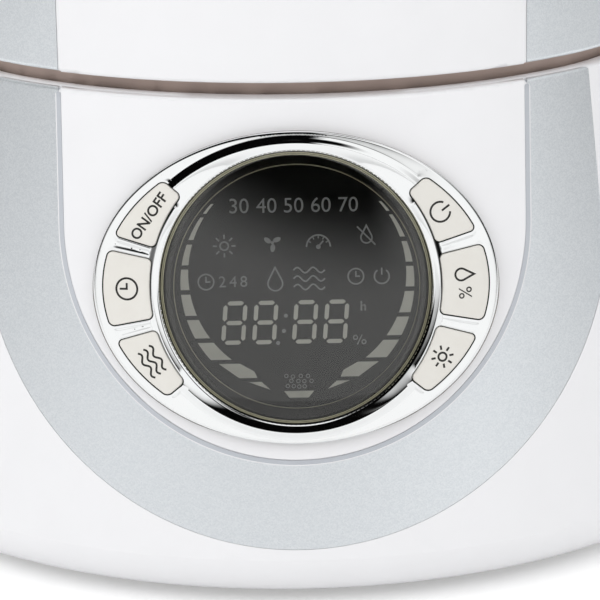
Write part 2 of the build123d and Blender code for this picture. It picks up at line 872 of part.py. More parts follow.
def make_tank_shell():
    shell = oval_ring(
        (tank_lean(tank_foot_z), tank_foot_z, tank_foot_round),
        (tank_lean(tank_top_z), tank_top_z, tank_shoulder),
        (tank_top_inset, tank_top_z, 0),
        (tank_top_inset, tank_ceiling_z, 0),
        (tank_lean(tank_ceiling_z) + tank_across, tank_ceiling_z, tank_shoulder - tank_wall),
        (tank_lean(tank_foot_z) + tank_across, tank_foot_z, 0),
    )
    shell += oval_plate(tank_top_inset - seat_gap, tank_ceiling_z, tank_top_z)
    shell -= disc(mist_tube_radius, tank_ceiling_z, tank_top_z)
    band = tank_trim_outline(trim_outer_radius + trim_gap) - tank_trim_outline(trim_inner_radius - trim_gap)
    shell -= tank_layer(-trim_thickness, out_reach) & through_tank_front(band) & front_half()
    field = tank_layer(-trim_thickness, field_proud, tank_foot_round)
    field &= through_tank_front(tank_trim_outline(trim_inner_radius - trim_gap)) & front_half()
    foot_edge_z = tank_foot_z + 2 * tank_foot_round
    edges = outer_face(field).edges().filter_by(lambda edge: edge.center().Z > foot_edge_z)
    return shell + chamfer(edges, panel_chamfer)


def front_half():
    return Pos(0, -half_depth, 0) * Box(2 * half_width, 2 * half_depth, tank_top_z, align=base_plan)


def make_tank_trim_band():
    outline = tank_trim_outline(trim_outer_radius) - tank_trim_outline(trim_inner_radius)
    layer = tank_layer(seat_gap - trim_thickness, 0, tank_foot_round)
    return layer & through_tank_front(outline) & front_half()


def make_tank_floor():
    plate_high = tank_foot_z + tank_floor_thickness
    floor = oval_plate(tank_lean(plate_high) + tank_across + fit_gap, tank_foot_z, plate_high)
    skirt_low = step_z + fit_gap
    floor += oval_ring(
        (skirt_inset, skirt_low, 0),
        (skirt_inset, plate_high, 0),
        (skirt_inset + tank_wall, plate_high, 0),
        (skirt_inset + tank_wall, skirt_low, 0),
    )
    floor -= disc(mist_tube_outer + seat_gap, tank_foot_z, plate_high)
    return floor - disc(neck_outer_radius + seat_gap, tank_foot_z, plate_high, cap_x)


def make_filler_neck():
    seat = tank_foot_z + tank_floor_thickness
    neck = disc(neck_outer_radius, neck_end, seat, cap_x)
    neck += disc(neck_outer_radius + neck_flange, seat, seat + neck_flange_thickness, cap_x)
    return neck - disc(neck_radius, neck_end, seat + neck_flange_thickness, cap_x)


def make_mist_tube():
    low = bowl_floor_z + mist_tube_lift
    pipe = tube(mist_tube_outer, mist_tube_radius, low, tank_ceiling_z)
    notch = block(4 * mist_tube_radius, mist_tube_notch_width, low, low + mist_tube_notch_height)
    for index in range(mist_tube_notch_count // 2):
        pipe -= Rot(0, 0, (2 * index + 1) * 180 / mist_tube_notch_count) * notch
    return pipe


neck_end = tank_foot_z - neck_length
cap_seal_low = neck_end - fit_gap - cap_seal_thickness
cap_low = cap_seal_low - cap_plate
washer_low = cap_seal_low + valve_lift + fit_gap
head_low = washer_low + valve_washer_thickness
head_high = head_low + valve_head_thickness
cage_high = head_high + spring_length
cage_outer_radius = neck_radius - cage_gap


def make_tank_cap():
    corners = (
        (0, cap_low, 0),
        (cap_outer_radius, cap_low, cap_wall / 2),
        (cap_outer_radius, neck_end + cap_reach, 0),
        (cap_inner_radius, neck_end + cap_reach, 0),
        (cap_inner_radius, cap_seal_low, 0),
        (0, cap_seal_low, 0),
    )
    cap = turned(corners)
    for index in range(cap_rib_count):
        turn = 2 * pi * index / cap_rib_count
        x = cap_outer_radius * cos(turn)
        y = cap_outer_radius * sin(turn)
        cap += disc(cap_rib_radius, cap_low + cap_wall / 2, neck_end + cap_reach, x, y)
    cap -= disc(valve_port_radius, cap_low, cap_seal_low)
    spider = disc(valve_hub_radius, cap_low, cap_seal_low)
    arm = block(valve_port_radius + valve_spider_width, valve_spider_width, cap_low, cap_seal_low,
                (valve_port_radius + valve_spider_width) / 2)
    for index in range(cage_leg_count):
        spider += Rot(0, 0, 360 * index / cage_leg_count) * arm
    cap += spider
    return Pos(cap_x, 0, 0) * (cap - disc(valve_stem_radius + valve_stem_gap, cap_low, cap_seal_low))


def make_cap_seal():
    high = cap_seal_low + cap_seal_thickness
    return tube(neck_outer_radius, neck_radius, cap_seal_low, high, cap_x)


def make_valve_cage():
    cage = disc(cage_outer_radius, cap_seal_low, cage_high + cage_top)
    cage -= disc(cage_outer_radius - cage_wall, cap_seal_low, cage_high)
    window_low = cap_seal_low + cage_wall
    window_high = cage_high - cage_wall
    window = block(2 * cage_outer_radius, cage_window, window_low, window_high, cage_outer_radius)
    for index in range(cage_leg_count):
        cage -= Rot(0, 0, 360 * index / cage_leg_count) * window
    cage -= disc(valve_stem_radius + valve_stem_gap, cage_high, cage_high + cage_top)
    return Pos(cap_x, 0, 0) * cage


def make_valve_plunger():
    low = bowl_floor_z + valve_post_height + fit_gap
    plunger = disc(valve_stem_radius, low, cage_high + cage_top + valve_lift + valve_stem_spare)
    return Pos(cap_x, 0, 0) * (plunger + disc(valve_head_radius, head_low, head_high))


def make_valve_washer():
    return tube(valve_washer_radius, valve_stem_radius, washer_low, head_low, cap_x)


def make_valve_spring():
    # One unbroken wire, each quarter turn an arc
    travel = spring_length - 2 * spring_wire_radius - 2 * seat_gap

    def point(turns):
        turn = 2 * pi * turns
        z = head_high + spring_wire_radius + seat_gap + travel * turns / spring_turns
        return cap_x + spring_radius * cos(turn), spring_radius * sin(turn), z

    step = 1 / spring_points_per_turn
    starts = [index * step for index in range(spring_turns * spring_points_per_turn)]
    arcs = [ThreePointArc(point(start), point(start + step / 2), point(start + step)) for start in starts]
    wire = Wire(arcs)
    section = Plane(wire @ 0, z_dir=wire % 0) * Circle(spring_wire_radius)
    print("valve spring, least gap between turns", round(travel / spring_turns - 2 * spring_wire_radius, 2))
    return sweep(section, wire)


spigot_outer = mist_tube_radius - spigot_gap
seat_bore = spigot_outer - spigot_wall
seat_high = tank_top_z + seat_flange_thickness
nozzle_outer = seat_flange_radius - spigot_gap
nozzle_inner = nozzle_outer - nozzle_wall
nozzle_low = seat_high + fit_gap
nozzle_high = nozzle_low + nozzle_height


def make_nozzle_seat():
    seat = tube(seat_flange_radius, seat_bore, tank_top_z, seat_high)
    seat += tube(spigot_outer, seat_bore, tank_top_z - spigot_length, tank_top_z)
    upstand = nozzle_inner - fit_gap
    return seat + tube(upstand, upstand - upstand_wall, seat_high, seat_high + upstand_height)


def make_nozzle_trim_ring():
    inner = seat_flange_radius + fit_gap
    high = tank_top_z + trim_ring_height
    corners = (
        (inner, tank_top_z, 0),
        (inner + trim_ring_width, tank_top_z, 0),
        (inner + trim_ring_width, high, trim_ring_round),
        (inner, high, 0),
    )
    return turned(corners)


def make_mist_nozzle():
    dome = turned((
        (0, nozzle_low, 0),
        (nozzle_outer, nozzle_low, 0),
        (nozzle_outer, nozzle_high, nozzle_round),
        (0, nozzle_high, 0),
    ))
    hollow = turned((
        (0, nozzle_low, 0),
        (nozzle_inner, nozzle_low, 0),
        (nozzle_inner, nozzle_high - nozzle_wall, nozzle_round - nozzle_wall),
        (0, nozzle_high - nozzle_wall, 0),
    ))
    aim = Plane((0, 0, nozzle_low), z_dir=(0, -sin(radians(spout_angle)), cos(radians(spout_angle))))
    spout = aim * Cylinder(spout_radius + spout_wall, spout_length, align=base_plan)
    spout = fillet(spout.edges().sort_by(Axis((0, 0, 0), aim.z_dir))[-1], spout_round)
    bore = aim * Cylinder(spout_radius, spout_length + spout_wall, align=base_plan)
    skirt = disc(nozzle_outer, nozzle_low - spout_length, nozzle_low)
    return dome + spout - hollow - bore - skirt


sub_parts = {
    "base_housing": make_base_housing(),
    "bottom_plate": make_bottom_plate(),
    "base_screws": make_base_screws(),
    "foot_front_left": make_foot(-1, -1),
    "foot_front_right": make_foot(1, -1),
    "foot_rear_left": make_foot(-1, 1),
    "foot_rear_right": make_foot(1, 1),
    "base_trim_band": make_base_trim_band(),
    "front_panel": make_front_panel(),
    "control_bezel": make_control_bezel(),
    "display_lens": make_display_lens(),
    "display_shroud": make_display_shroud(),
    "lcd_panel": make_lcd_panel(),
    "lcd_holder": make_lcd_holder(),
    "control_board": make_control_board(),
    "tact_switches": make_tact_switches(),
    "water_basin": make_water_basin(),
    "air_riser": make_air_riser(),
    "basin_pillars": make_basin_pillars(),
    "transducer_disc": make_transducer_disc(),
    "transducer_seal": make_transducer_seal(),
    "transducer_clamp": make_transducer_clamp(),
    "transducer_screws": make_transducer_screws(),
    "float_retainer": make_float_retainer(),
    "water_float": make_water_float(),
    "fan_frame": make_fan_frame(),
    "fan_screws": make_fan_screws(),
    "fan_impeller": make_fan_impeller(),
    "air_duct": make_air_duct(),
    "driver_board": make_circuit_board(-1),
    "heat_sink": make_heat_sink(),
    "power_board": make_circuit_board(1),
    "transformer": make_transformer(),
    "capacitors": make_capacitors(),
    "humidity_sensor": make_humidity_sensor(),
    "cord_cup": make_cord_cup(),
    "cord_gland": make_cord_gland(),
    "tank_shell": make_tank_shell(),
    "tank_floor": make_tank_floor(),
    "filler_neck": make_filler_neck(),
    "mist_tube": make_mist_tube(),
    "tank_trim_band": make_tank_trim_band(),
    "tank_cap": make_tank_cap(),
    "cap_seal": make_cap_seal(),
    "valve_cage": make_valve_cage(),
    "valve_plunger": make_valve_plunger(),
    "valve_washer": make_valve_washer(),
    "valve_spring": make_valve_spring(),
    "nozzle_seat": make_nozzle_seat(),
    "nozzle_trim_ring": make_nozzle_trim_ring(),
    "mist_nozzle": make_mist_nozzle(),
}
for name, angle in button_names.items():
    sub_parts[name] = make_button(angle)

os.makedirs("parts", exist_ok=True)
for name, solid in sub_parts.items():
    export_step(solid, f"parts/{name}.step")
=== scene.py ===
import json
from functools import partial
from math import atan, atan2, cos, degrees, pi, radians, sin, sqrt, tan

import bmesh
import bpy
import numpy as np
from mathutils import Matrix, Vector
from mathutils.geometry import delaunay_2d_cdt


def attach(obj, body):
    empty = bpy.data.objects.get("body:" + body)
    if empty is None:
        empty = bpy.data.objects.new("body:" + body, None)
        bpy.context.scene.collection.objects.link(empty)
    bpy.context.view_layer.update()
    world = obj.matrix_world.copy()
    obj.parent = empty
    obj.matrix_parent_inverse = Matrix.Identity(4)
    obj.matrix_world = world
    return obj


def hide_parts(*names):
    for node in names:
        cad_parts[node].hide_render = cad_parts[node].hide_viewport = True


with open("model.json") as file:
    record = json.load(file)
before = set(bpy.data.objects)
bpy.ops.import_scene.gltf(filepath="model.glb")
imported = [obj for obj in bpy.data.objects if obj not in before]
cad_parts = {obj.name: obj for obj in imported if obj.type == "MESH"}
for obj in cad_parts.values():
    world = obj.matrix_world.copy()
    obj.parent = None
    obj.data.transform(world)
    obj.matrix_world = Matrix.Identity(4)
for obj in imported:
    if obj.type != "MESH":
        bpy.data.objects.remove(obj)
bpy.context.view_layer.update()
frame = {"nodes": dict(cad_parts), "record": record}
nodes = frame["nodes"]
bodies = frame["record"]["behaviour"]["bodies"]
nodeBody = {node: body for body, members in bodies.items() for node in members}
nodeSlot = {part["node"]: part["material_slot"] for part in frame["record"]["subparts"]}
mm = 0.001
print("frame loaded:", len(nodes), "nodes")


# Colour, nodes and materials

def linear(code):
    parts = [int(code[i:i + 2], 16) / 255 for i in (1, 3, 5)]
    return [p / 12.92 if p <= 0.04045 else ((p + 0.055) / 1.055) ** 2.4 for p in parts] + [1.0]


def addNode(tree, kind, settings=None, links=None):
    node = tree.nodes.new(kind)
    for key, value in (settings or {}).items():
        if isinstance(key, int) or key in node.inputs:
            node.inputs[key].default_value = value
        else:
            setattr(node, key, value)
    for key, source in (links or {}).items():
        tree.links.new(source, node.inputs[key])
    return node


def addObject(name, data):
    thing = bpy.data.objects.new(name, data)
    bpy.context.scene.collection.objects.link(thing)
    return thing


def startMaterial(name, fixed):
    material = bpy.data.materials.new(name)
    material.use_nodes = True
    tree = material.node_tree
    shader = tree.nodes["Principled BSDF"]
    for key, value in fixed.items():
        shader.inputs[key].default_value = value
    place = addNode(tree, "ShaderNodeTexCoord").outputs["Object"]
    return material, tree, shader, place


def finishSurface(tree, shader, drift, grain, look):
    # Colour drifts between two shades, roughness between two values, and a fine bump lies over both
    shades = addNode(tree, "ShaderNodeMix", {
        "data_type": "RGBA", 6: linear(look["shade"]), 7: linear(look["tone"])}, {0: drift})
    low, high = look["rough"]
    rough = addNode(tree, "ShaderNodeMapRange", {"To Min": low, "To Max": high}, {"Value": drift})
    bump = addNode(tree, "ShaderNodeBump", {"Strength": 1.0, "Distance": look["depth"] * mm},
                   {"Height": grain})
    for key, source in (("Base Color", shades.outputs[2]), ("Roughness", rough.outputs["Result"]),
                        ("Normal", bump.outputs["Normal"])):
        tree.links.new(source, shader.inputs[key])


def plainFinish(name, fixed, **look):
    # Drift and grain are pattern sizes and depth is the bump's height, in millimetres
    material, tree, shader, place = startMaterial(name, fixed)
    noise = {}
    for key, detail in (("drift", 3.0), ("grain", 2.0)):
        noise[key] = addNode(tree, "ShaderNodeTexNoise", {"Scale": 1 / (look[key] * mm), "Detail": detail},
                             {"Vector": place}).outputs["Fac"]
    finishSurface(tree, shader, noise["drift"], noise["grain"], look)
    return material


# Moulded gloss ABS: a clean white skin with a faint orange peel
glossAbs = plainFinish(
    "glossAbsMoulded", {"IOR": 1.5, "Specular IOR Level": 0.4}, shade="#EFEFF1", tone="#F3F3F5",
    drift=14.0, rough=(0.26, 0.34), grain=1.4, depth=0.003)

# The same ABS, darkened to a cool pale grey as painted shade, for the bevel round the centre panel
shadedBevelAbs = plainFinish(
    "shadedBevelAbsMoulded", {"IOR": 1.5, "Specular IOR Level": 0.4}, shade="#BEC2C9", tone="#C4C8CE",
    drift=14.0, rough=(0.3, 0.38), grain=1.4, depth=0.003)

# Moulded satin ABS of the button caps: warmer white with a spark-eroded grain
satinAbs = plainFinish(
    "satinAbsMoulded", {"IOR": 1.5, "Specular IOR Level": 0.4}, shade="#E2DFD8", tone="#E8E6E0",
    drift=4.0, rough=(0.36, 0.46), grain=0.35, depth=0.004)

# Moulded polypropylene inside the tank and basin: matt, slightly milky
mattPolypropylene = plainFinish(
    "mattPolypropyleneMoulded", {"IOR": 1.49}, shade="#D9D8D4", tone="#E3E2DF",
    drift=9.0, rough=(0.5, 0.62), grain=0.6, depth=0.008)

# Moulded ABS of the tank's foot, which shows in the shadow gap; its warm greige is painted shade and warm
# bounce light for that gap
warmGapShadeAbs = plainFinish(
    "warmGapShadeAbsMoulded", {"IOR": 1.5}, shade="#D6C1B7", tone="#DCC8BE",
    drift=9.0, rough=(0.45, 0.55), grain=0.6, depth=0.006)

# Moulded black ABS of the display's shroud and the blower: soft sheen with an eroded grain
blackAbs = plainFinish(
    "blackAbsMoulded", {"IOR": 1.5}, shade="#0C0C0B", tone="#151513",
    drift=6.0, rough=(0.32, 0.42), grain=0.4, depth=0.004)

# Moulded black rubber: dull, with bloom on the skin
blackRubber = plainFinish(
    "blackRubberMoulded", {"IOR": 1.52}, shade="#1B1B1B", tone="#272726",
    drift=5.0, rough=(0.7, 0.85), grain=0.5, depth=0.015)

# Extruded grey rubber of the bezel's gasket: dull; its mid grey stands in as painted shadow along the joint
gasketShadeRubber = plainFinish(
    "gasketShadeRubberExtruded", {"IOR": 1.52}, shade="#7E7874", tone="#88827D",
    drift=5.0, rough=(0.6, 0.75), grain=0.5, depth=0.01)

# Moulded silicone: milky, soft sheen
clearSilicone = plainFinish(
    "milkySiliconeMoulded", {"IOR": 1.41, "Subsurface Weight": 0.2}, shade="#C9C8C1", tone="#D6D5CF",
    drift=5.0, rough=(0.4, 0.5), grain=0.5, depth=0.006)

# Zinc plated steel: pale grey with cloudy plating
zincSteel = plainFinish(
    "zincPlatedSteel", {"Metallic": 1.0}, shade="#B4B5B2", tone="#C9CAC8",
    drift=2.0, rough=(0.28, 0.42), grain=0.3, depth=0.002)

# Extruded aluminium: pale, with drawn lines too fine to resolve
extrudedAluminium = plainFinish(
    "extrudedAluminium", {"Metallic": 1.0}, shade="#C2C4C5", tone="#D2D4D5",
    drift=3.0, rough=(0.34, 0.46), grain=0.3, depth=0.003)

# Varnished core iron with its winding: dark brown grey
varnishedIron = plainFinish(
    "varnishedCoreIron", {"Metallic": 0.3}, shade="#3A3531", tone="#4A443E",
    drift=2.0, rough=(0.4, 0.6), grain=0.5, depth=0.02)

# Green solder mask over glass laminate
solderMask = plainFinish(
    "solderMaskLaminate", {"IOR": 1.5}, shade="#1E4A2C", tone="#2A5C38",
    drift=3.0, rough=(0.3, 0.4), grain=0.8, depth=0.01)

# Moulded component bodies: dark grey epoxy
epoxyBody = plainFinish(
    "mouldedEpoxy", {"IOR": 1.5}, shade="#242426", tone="#303033",
    drift=2.0, rough=(0.5, 0.65), grain=0.4, depth=0.01)

# Pad-printed black ink: thin, with slightly uneven cover
padInk = plainFinish(
    "padPrintedInk", {"IOR": 1.48}, shade="#171615", tone="#26241F",
    drift=1.2, rough=(0.4, 0.55), grain=0.3, depth=0.003)

# Dark display glass: black cell behind polished glass
displayGlass = plainFinish(
    "darkDisplayGlass", {"IOR": 1.5, "Specular IOR Level": 0.08}, shade="#060707", tone="#090A0A",
    drift=20.0, rough=(0.3, 0.36), grain=2.0, depth=0.001)

# Screen-printed display segments: pale grey foil ink
segmentInk = plainFinish(
    "screenPrintedSegment", {"IOR": 1.5}, shade="#C6C7C1", tone="#D6D6D0",
    drift=5.0, rough=(0.4, 0.5), grain=0.6, depth=0.002)

# The same ink, thinner, for the small signs
signInk = plainFinish(
    "screenPrintedSign", {"IOR": 1.5}, shade="#84878A", tone="#8E9092",
    drift=5.0, rough=(0.4, 0.5), grain=0.6, depth=0.002)

# Printed border of the display, and the painted reflection lines on the window's bevel: a thin light olive
# line
borderAndSheenInk = plainFinish(
    "screenPrintedBorderAndSheen", {"IOR": 1.5}, shade="#8C8972", tone="#AAA78F",
    drift=6.0, rough=(0.3, 0.4), grain=0.6, depth=0.002)

# Decorative chrome plate on ABS: mirror bright, with the slight waviness of the moulding below
chromePlate = plainFinish(
    "chromePlateOnAbs", {"Metallic": 1.0}, shade="#F3F5F5", tone="#F8F9F9",
    drift=8.0, rough=(0.03, 0.05), grain=7.0, depth=0.01)

lacquer = {"flake": 0.35, "shade": "#E0E5E9", "tone": "#EDF1F4", "rough": (0.38, 0.46), "depth": 0.004}
castSheet = {"drift": 25.0, "shade": "#F7F7F2", "tone": "#FBFBF8"}


def makeSilverPaint():
    # Sprayed silver lacquer: aluminium flakes under clear coat, drawn at 0.35 mm so that they show
    material, tree, shader, place = startMaterial("silverLacquerSprayed", {
        "Metallic": 0.6, "Coat Weight": 0.1, "Coat Roughness": 0.25})
    flakes = addNode(tree, "ShaderNodeTexVoronoi", {"Scale": 1 / (lacquer["flake"] * mm)}, {"Vector": place})
    level = addNode(tree, "ShaderNodeSeparateColor", None, {"Color": flakes.outputs["Color"]}).outputs["Red"]
    finishSurface(tree, shader, level, level, lacquer)
    return material


def makeAcrylic():
    # Cast acrylic window: clear and polished, with a smoky olive tint that drifts slightly
    material, tree, shader, place = startMaterial("castAcrylicPolished", {
        "Transmission Weight": 1.0, "IOR": 1.49, "Roughness": 0.0})
    drift = addNode(tree, "ShaderNodeTexNoise", {"Scale": 1 / (castSheet["drift"] * mm), "Detail": 2.0},
                    {"Vector": place})
    tint = addNode(tree, "ShaderNodeMix", {
        "data_type": "RGBA", 6: linear(castSheet["shade"]), 7: linear(castSheet["tone"])},
        {0: drift.outputs["Fac"]})
    tree.links.new(tint.outputs[2], shader.inputs["Base Color"])
    return material


silverPaint = makeSilverPaint()
acrylic = makeAcrylic()
print("materials made:", len(bpy.data.materials))


# The leaning front: a cone round an upright axis behind the panel

front = {"radius": 155.0, "axisBack": 40.0, "wideZ": 16.0, "draft": 12.5, "panelZ": 90.4}
frontCos, frontSin = cos(radians(front["draft"])), sin(radians(front["draft"]))
frontReach = front["radius"] - (front["panelZ"] - front["wideZ"]) * tan(radians(front["draft"]))


def frontPoints(flat, out):
    # Places in metres, from across and up in the panel's plane and a height above the base's skin
    flat = np.asarray(flat, float)
    near = frontReach - flat[:, 1] * frontSin
    far = near + np.asarray(out, float) / frontCos
    drop = frontSin ** 2 / frontCos
    square = frontCos ** 2 - drop ** 2
    half = near * frontCos + far * drop
    rest = near ** 2 + flat[:, 0] ** 2 - far ** 2
    return planePoints(flat, (np.sqrt(half ** 2 - square * rest) - half) / square)


def planePoints(flat, out):
    # The same, with the height taken straight off the panel's plane
    flat = np.asarray(flat, float)
    y = front["axisBack"] - frontReach + flat[:, 1] * frontSin - out * frontCos
    z = front["panelZ"] + flat[:, 1] * frontCos + out * frontSin
    return np.stack([flat[:, 0], y, z], 1) * mm


# Outlines in millimetres, as arrays of across and up

quarterArm = 0.5523  # share of a corner at which a curve's arm makes it round
tiny, farAway = 1e-12, 1e3


def arcOf(xRadius, yRadius, start, end, steps):
    turns = np.linspace(start, end, steps)
    return np.stack([xRadius * np.cos(turns), yRadius * np.sin(turns)], 1)


def ovalLoop(xRadius, yRadius, steps):
    return arcOf(xRadius, yRadius, 0, 2 * pi, steps + 1)[:-1]


def offsetLoop(loop, distance):
    # Outward is positive for a loop that runs anticlockwise
    along = np.roll(loop, -1, 0) - np.roll(loop, 1, 0)
    normal = np.stack([along[:, 1], -along[:, 0]], 1)
    return loop + normal / np.linalg.norm(normal, axis=1)[:, None] * distance


def trimmed(side, length):
    # A sampled side with a length taken off each end
    steps = np.linalg.norm(np.diff(side, axis=0), axis=1)
    run = np.concatenate([[0], np.cumsum(steps)])
    marks = np.linspace(length, run[-1] - length, len(side))
    return np.stack([np.interp(marks, run, side[:, i]) for i in (0, 1)], 1)


def roundedLoop(sides, radius, steps=8):
    # Sides joined by round corners
    cut = [trimmed(side, radius) for side in sides]
    loop = []
    for i, side in enumerate(cut):
        loop.append(side)
        a, b, corner = side[-1], cut[(i + 1) % len(cut)][0], sides[i][-1]
        t = np.linspace(0, 1, steps + 2)[1:-1, None]
        armA, armB = a + quarterArm * (corner - a), b + quarterArm * (corner - b)
        loop.append((1 - t) ** 3 * a + 3 * t * (1 - t) ** 2 * armA + 3 * t * t * (1 - t) * armB + t ** 3 * b)
    return np.concatenate(loop)


def inside(points, loop):
    x, y = points[:, 0][:, None], points[:, 1][:, None]
    ax, ay = loop[:, 0], loop[:, 1]
    bx, by = np.roll(ax, -1), np.roll(ay, -1)
    span = (ay > y) != (by > y)
    cross = (bx - ax) * (y - ay) / np.where(by == ay, tiny, by - ay) + ax
    return np.count_nonzero(span & (x < cross), axis=1) % 2 == 1


def distanceTo(points, loop, reach=4.0):
    # Least distance to a closed polyline, for points within reach of its box
    best = np.full(len(points), farAway)
    near = np.all((points > loop.min(0) - reach) & (points < loop.max(0) + reach), axis=1)
    spots, least = points[near], best[near]
    for a, b in zip(loop, np.roll(loop, -1, 0)):
        span = b - a
        share = np.clip(((spots - a) @ span) / max(span @ span, tiny), 0, 1)
        least = np.minimum(least, np.linalg.norm(spots - a - share[:, None] * span, axis=1))
    best[near] = least
    return best


def smoothMax(a, b, width):
    return 0.5 * (a + b + np.sqrt((a - b) ** 2 + width ** 2))


def ramp(x, start, end):
    # Smoothly from 0 at the start to 1 at the end
    t = np.clip((x - start) / (end - start), 0, 1)
    return t * t * (3 - 2 * t)


def roundDrop(inset, radius):
    # How far a rounded edge lies below its face, at a distance in from the edge
    short = np.clip(radius - inset, 0, radius)
    return radius - np.sqrt(radius ** 2 - short ** 2)


def facingUp(flat, faces):
    # The triangles turned anticlockwise, and twice their areas
    corners = flat[faces]
    ab, ac = corners[:, 1] - corners[:, 0], corners[:, 2] - corners[:, 0]
    area = ab[:, 0] * ac[:, 1] - ab[:, 1] * ac[:, 0]
    faces[area < 0] = faces[area < 0][:, ::-1]
    return faces, np.abs(area)


# Pieces

mergeDistance, leastArea = 1e-5, 1e-9  # in millimetres, for flat triangles
weldDistance = 1e-6  # in metres, for copies of solids
wall = {"sideCentre": 30.0, "frontCentre": 40.0, "baseDraft": 12.5, "tankDraft": 6.0, "least": 0.99}


def setPiece(name, mesh, material, body, sharpAngle):
    mesh.shade_smooth()
    mesh.set_sharp_from_angle(angle=radians(sharpAngle))
    mesh.materials.clear()
    mesh.materials.append(material)
    piece = addObject(name, mesh)
    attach(piece, body)
    return piece


def addPiece(name, points, faces, material, body, sharpAngle=35.0):
    mesh = bpy.data.meshes.new(name)
    mesh.from_pydata([tuple(p) for p in points], [], [tuple(int(i) for i in f) for f in faces])
    mesh.validate()
    return setPiece(name, mesh, material, body, sharpAngle)


def triangulate(outline, openings, guides=()):
    # Triangles over a region with openings, through the guide points
    loops = [outline, *openings]
    points, edges = [], []
    for loop in loops:
        first, count = len(points), len(loop)
        points += [Vector(p) for p in loop]
        edges += [(first + i, first + (i + 1) % count) for i in range(count)]
    if len(guides):
        keep = inside(guides, outline)
        for opening in openings:
            keep &= ~inside(guides, opening)
        points += [Vector(p) for p in guides[keep]]
    flat, _, faces, *_ = delaunay_2d_cdt(points, edges, [], 0, mergeDistance)
    flat = np.array(flat)
    faces, area = facingUp(flat, np.array(faces))
    middle = flat[faces].mean(1)
    keep = inside(middle, outline) & (area > leastArea)
    for opening in openings:
        keep &= ~inside(middle, opening)
    used, faces = np.unique(faces[keep], return_inverse=True)
    return flat[used], faces.reshape(-1, 3)


def closedBody(flat, faces, top, low, place):
    # Top and bottom sheets with walls round every open edge
    count = len(flat)
    points = np.concatenate([place(flat, top), place(flat, low)])
    edges = np.concatenate([faces[:, [0, 1]], faces[:, [1, 2]], faces[:, [2, 0]]])
    known = {(a, b) for a, b in edges}
    rim = [(a, b) for a, b in edges if (b, a) not in known]
    walls = [(b, a, a + count, b + count) for a, b in rim]
    return points, [*faces, *(faces[:, ::-1] + count), *walls]


def heights(rule, flat):
    # A height rule is a number or a function of the places
    return rule(flat) if callable(rule) else np.full(len(flat), rule)


def topNormals(flat, top, step=0.01):
    # Normals of a front surface from its height rule, so that mirrors read true
    ends = [frontPoints(flat + move, heights(top, flat + move))
            for move in ((step, 0), (-step, 0), (0, step), (0, -step))]
    normals = np.cross(ends[0] - ends[1], ends[2] - ends[3])
    return normals / np.linalg.norm(normals, axis=1)[:, None]


def frontPiece(name, outline, openings, guides, top, low, material, body):
    flat, faces = triangulate(outline, openings, guides)
    points, sides = closedBody(flat, faces, heights(top, flat), heights(low, flat), frontPoints)
    piece = addPiece(name, points, sides, material, body)
    wanted = np.zeros((len(piece.data.loops), 3))
    wanted[:faces.size] = topNormals(flat, top)[faces.ravel()]
    piece.data.normals_split_custom_set(wanted.tolist())
    return piece


def smoothCopy(node, material, sharpAngle=30.0):
    # A merged copy of a solid's mesh with smooth shading, which stands for it
    mesh = nodes[node].data.copy()
    work = bmesh.new()
    work.from_mesh(mesh)
    bmesh.ops.remove_doubles(work, verts=work.verts, dist=weldDistance)
    work.to_mesh(mesh)
    work.free()
    piece = setPiece(node + "_skin", mesh, material, nodeBody[node], sharpAngle)
    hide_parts(node)
    return piece


def wallNormals(piece, draft):
    # Exact normals where a skin lies on the leaning oval wall, whose long thin triangles shade unevenly
    mesh = piece.data
    corners = np.zeros(len(mesh.loops), int)
    mesh.loops.foreach_get("vertex_index", corners)
    spots, facing = np.zeros(3 * len(mesh.vertices)), np.zeros(3 * len(mesh.polygons))
    mesh.vertices.foreach_get("co", spots)
    mesh.polygons.foreach_get("normal", facing)
    x, y = spots.reshape(-1, 3).T[:2] / mm
    out, back = wall["sideCentre"], wall["frontCentre"]
    onSide = np.arctan2(np.abs(y), np.abs(x) - out) < atan2(back, out)
    plan = np.where(onSide, (x - np.sign(x) * out, y), (x, y + np.sign(y) * back)).T
    plan /= np.linalg.norm(plan, axis=1)[:, None]
    lean = radians(draft)
    exact = np.column_stack([plan * cos(lean), np.full(len(plan), sin(lean))])[corners]
    flat = np.repeat(facing.reshape(-1, 3), [face.loop_total for face in mesh.polygons], axis=0)
    exact[np.sum(exact * flat, axis=1) < wall["least"]] = 0
    mesh.normals_split_custom_set(exact.tolist())


# Chrome bezel and buttons

bezel = {"halfWidth": 55.4, "halfHeight": 42.3, "face": 4.0, "low": 1.05, "round": 0.6, "rim": 2.5,
         "ringInner": 37.0, "ringOuter": 39.3, "ringRaise": 0.8, "innerDrop": 0.45, "innerCurve": 0.75,
         "innerRound": 0.8, "sideCrest": 38.9, "topCrest": (45.9, 38.95), "lowCrest": (41.5, 39.1),
         "crestTurn": (0.56, 0.64), "topTurn": (0.0, 0.5), "lowTurn": (-0.72, -0.95), "sideShare": 0.45,
         "flankWidth": 1.95, "flankDrop": 0.77, "blend": 0.08,
         "lean": 0.03, "leanZone": (-5.0, 15.0), "leanEdge": 1.0, "leanBlend": 0.6,
         "beadTop": 0.08, "beadPlace": 0.5, "beadWidth": 1.15, "beadZone": 1.75, "beadEdge": 2.2,
         "beadFall": 2.0, "beadReach": 3.0, "beadBlend": 0.06}
bezelGrid = {"outlineSteps": 420, "windowSteps": 360, "raySteps": 540, "ringMore": 0.1, "flankMore": 0.6,
             "near": (0.03, 0.08, 0.15, 0.24, 0.35, 0.48, 0.62, 0.8), "riseStart": 0.9, "riseSteps": 12,
             "fallStep": 0.13, "lips": (0.04, 0.1, 0.18, 0.28, 0.4, 0.55, 0.75, 1.0, 1.3),
             "ovals": (1.6, 18.0, 0.45), "beads": (0.1, 0.22, 0.36, 0.5, 0.66, 0.83, 1.0, 1.2, 1.4, 1.6)}
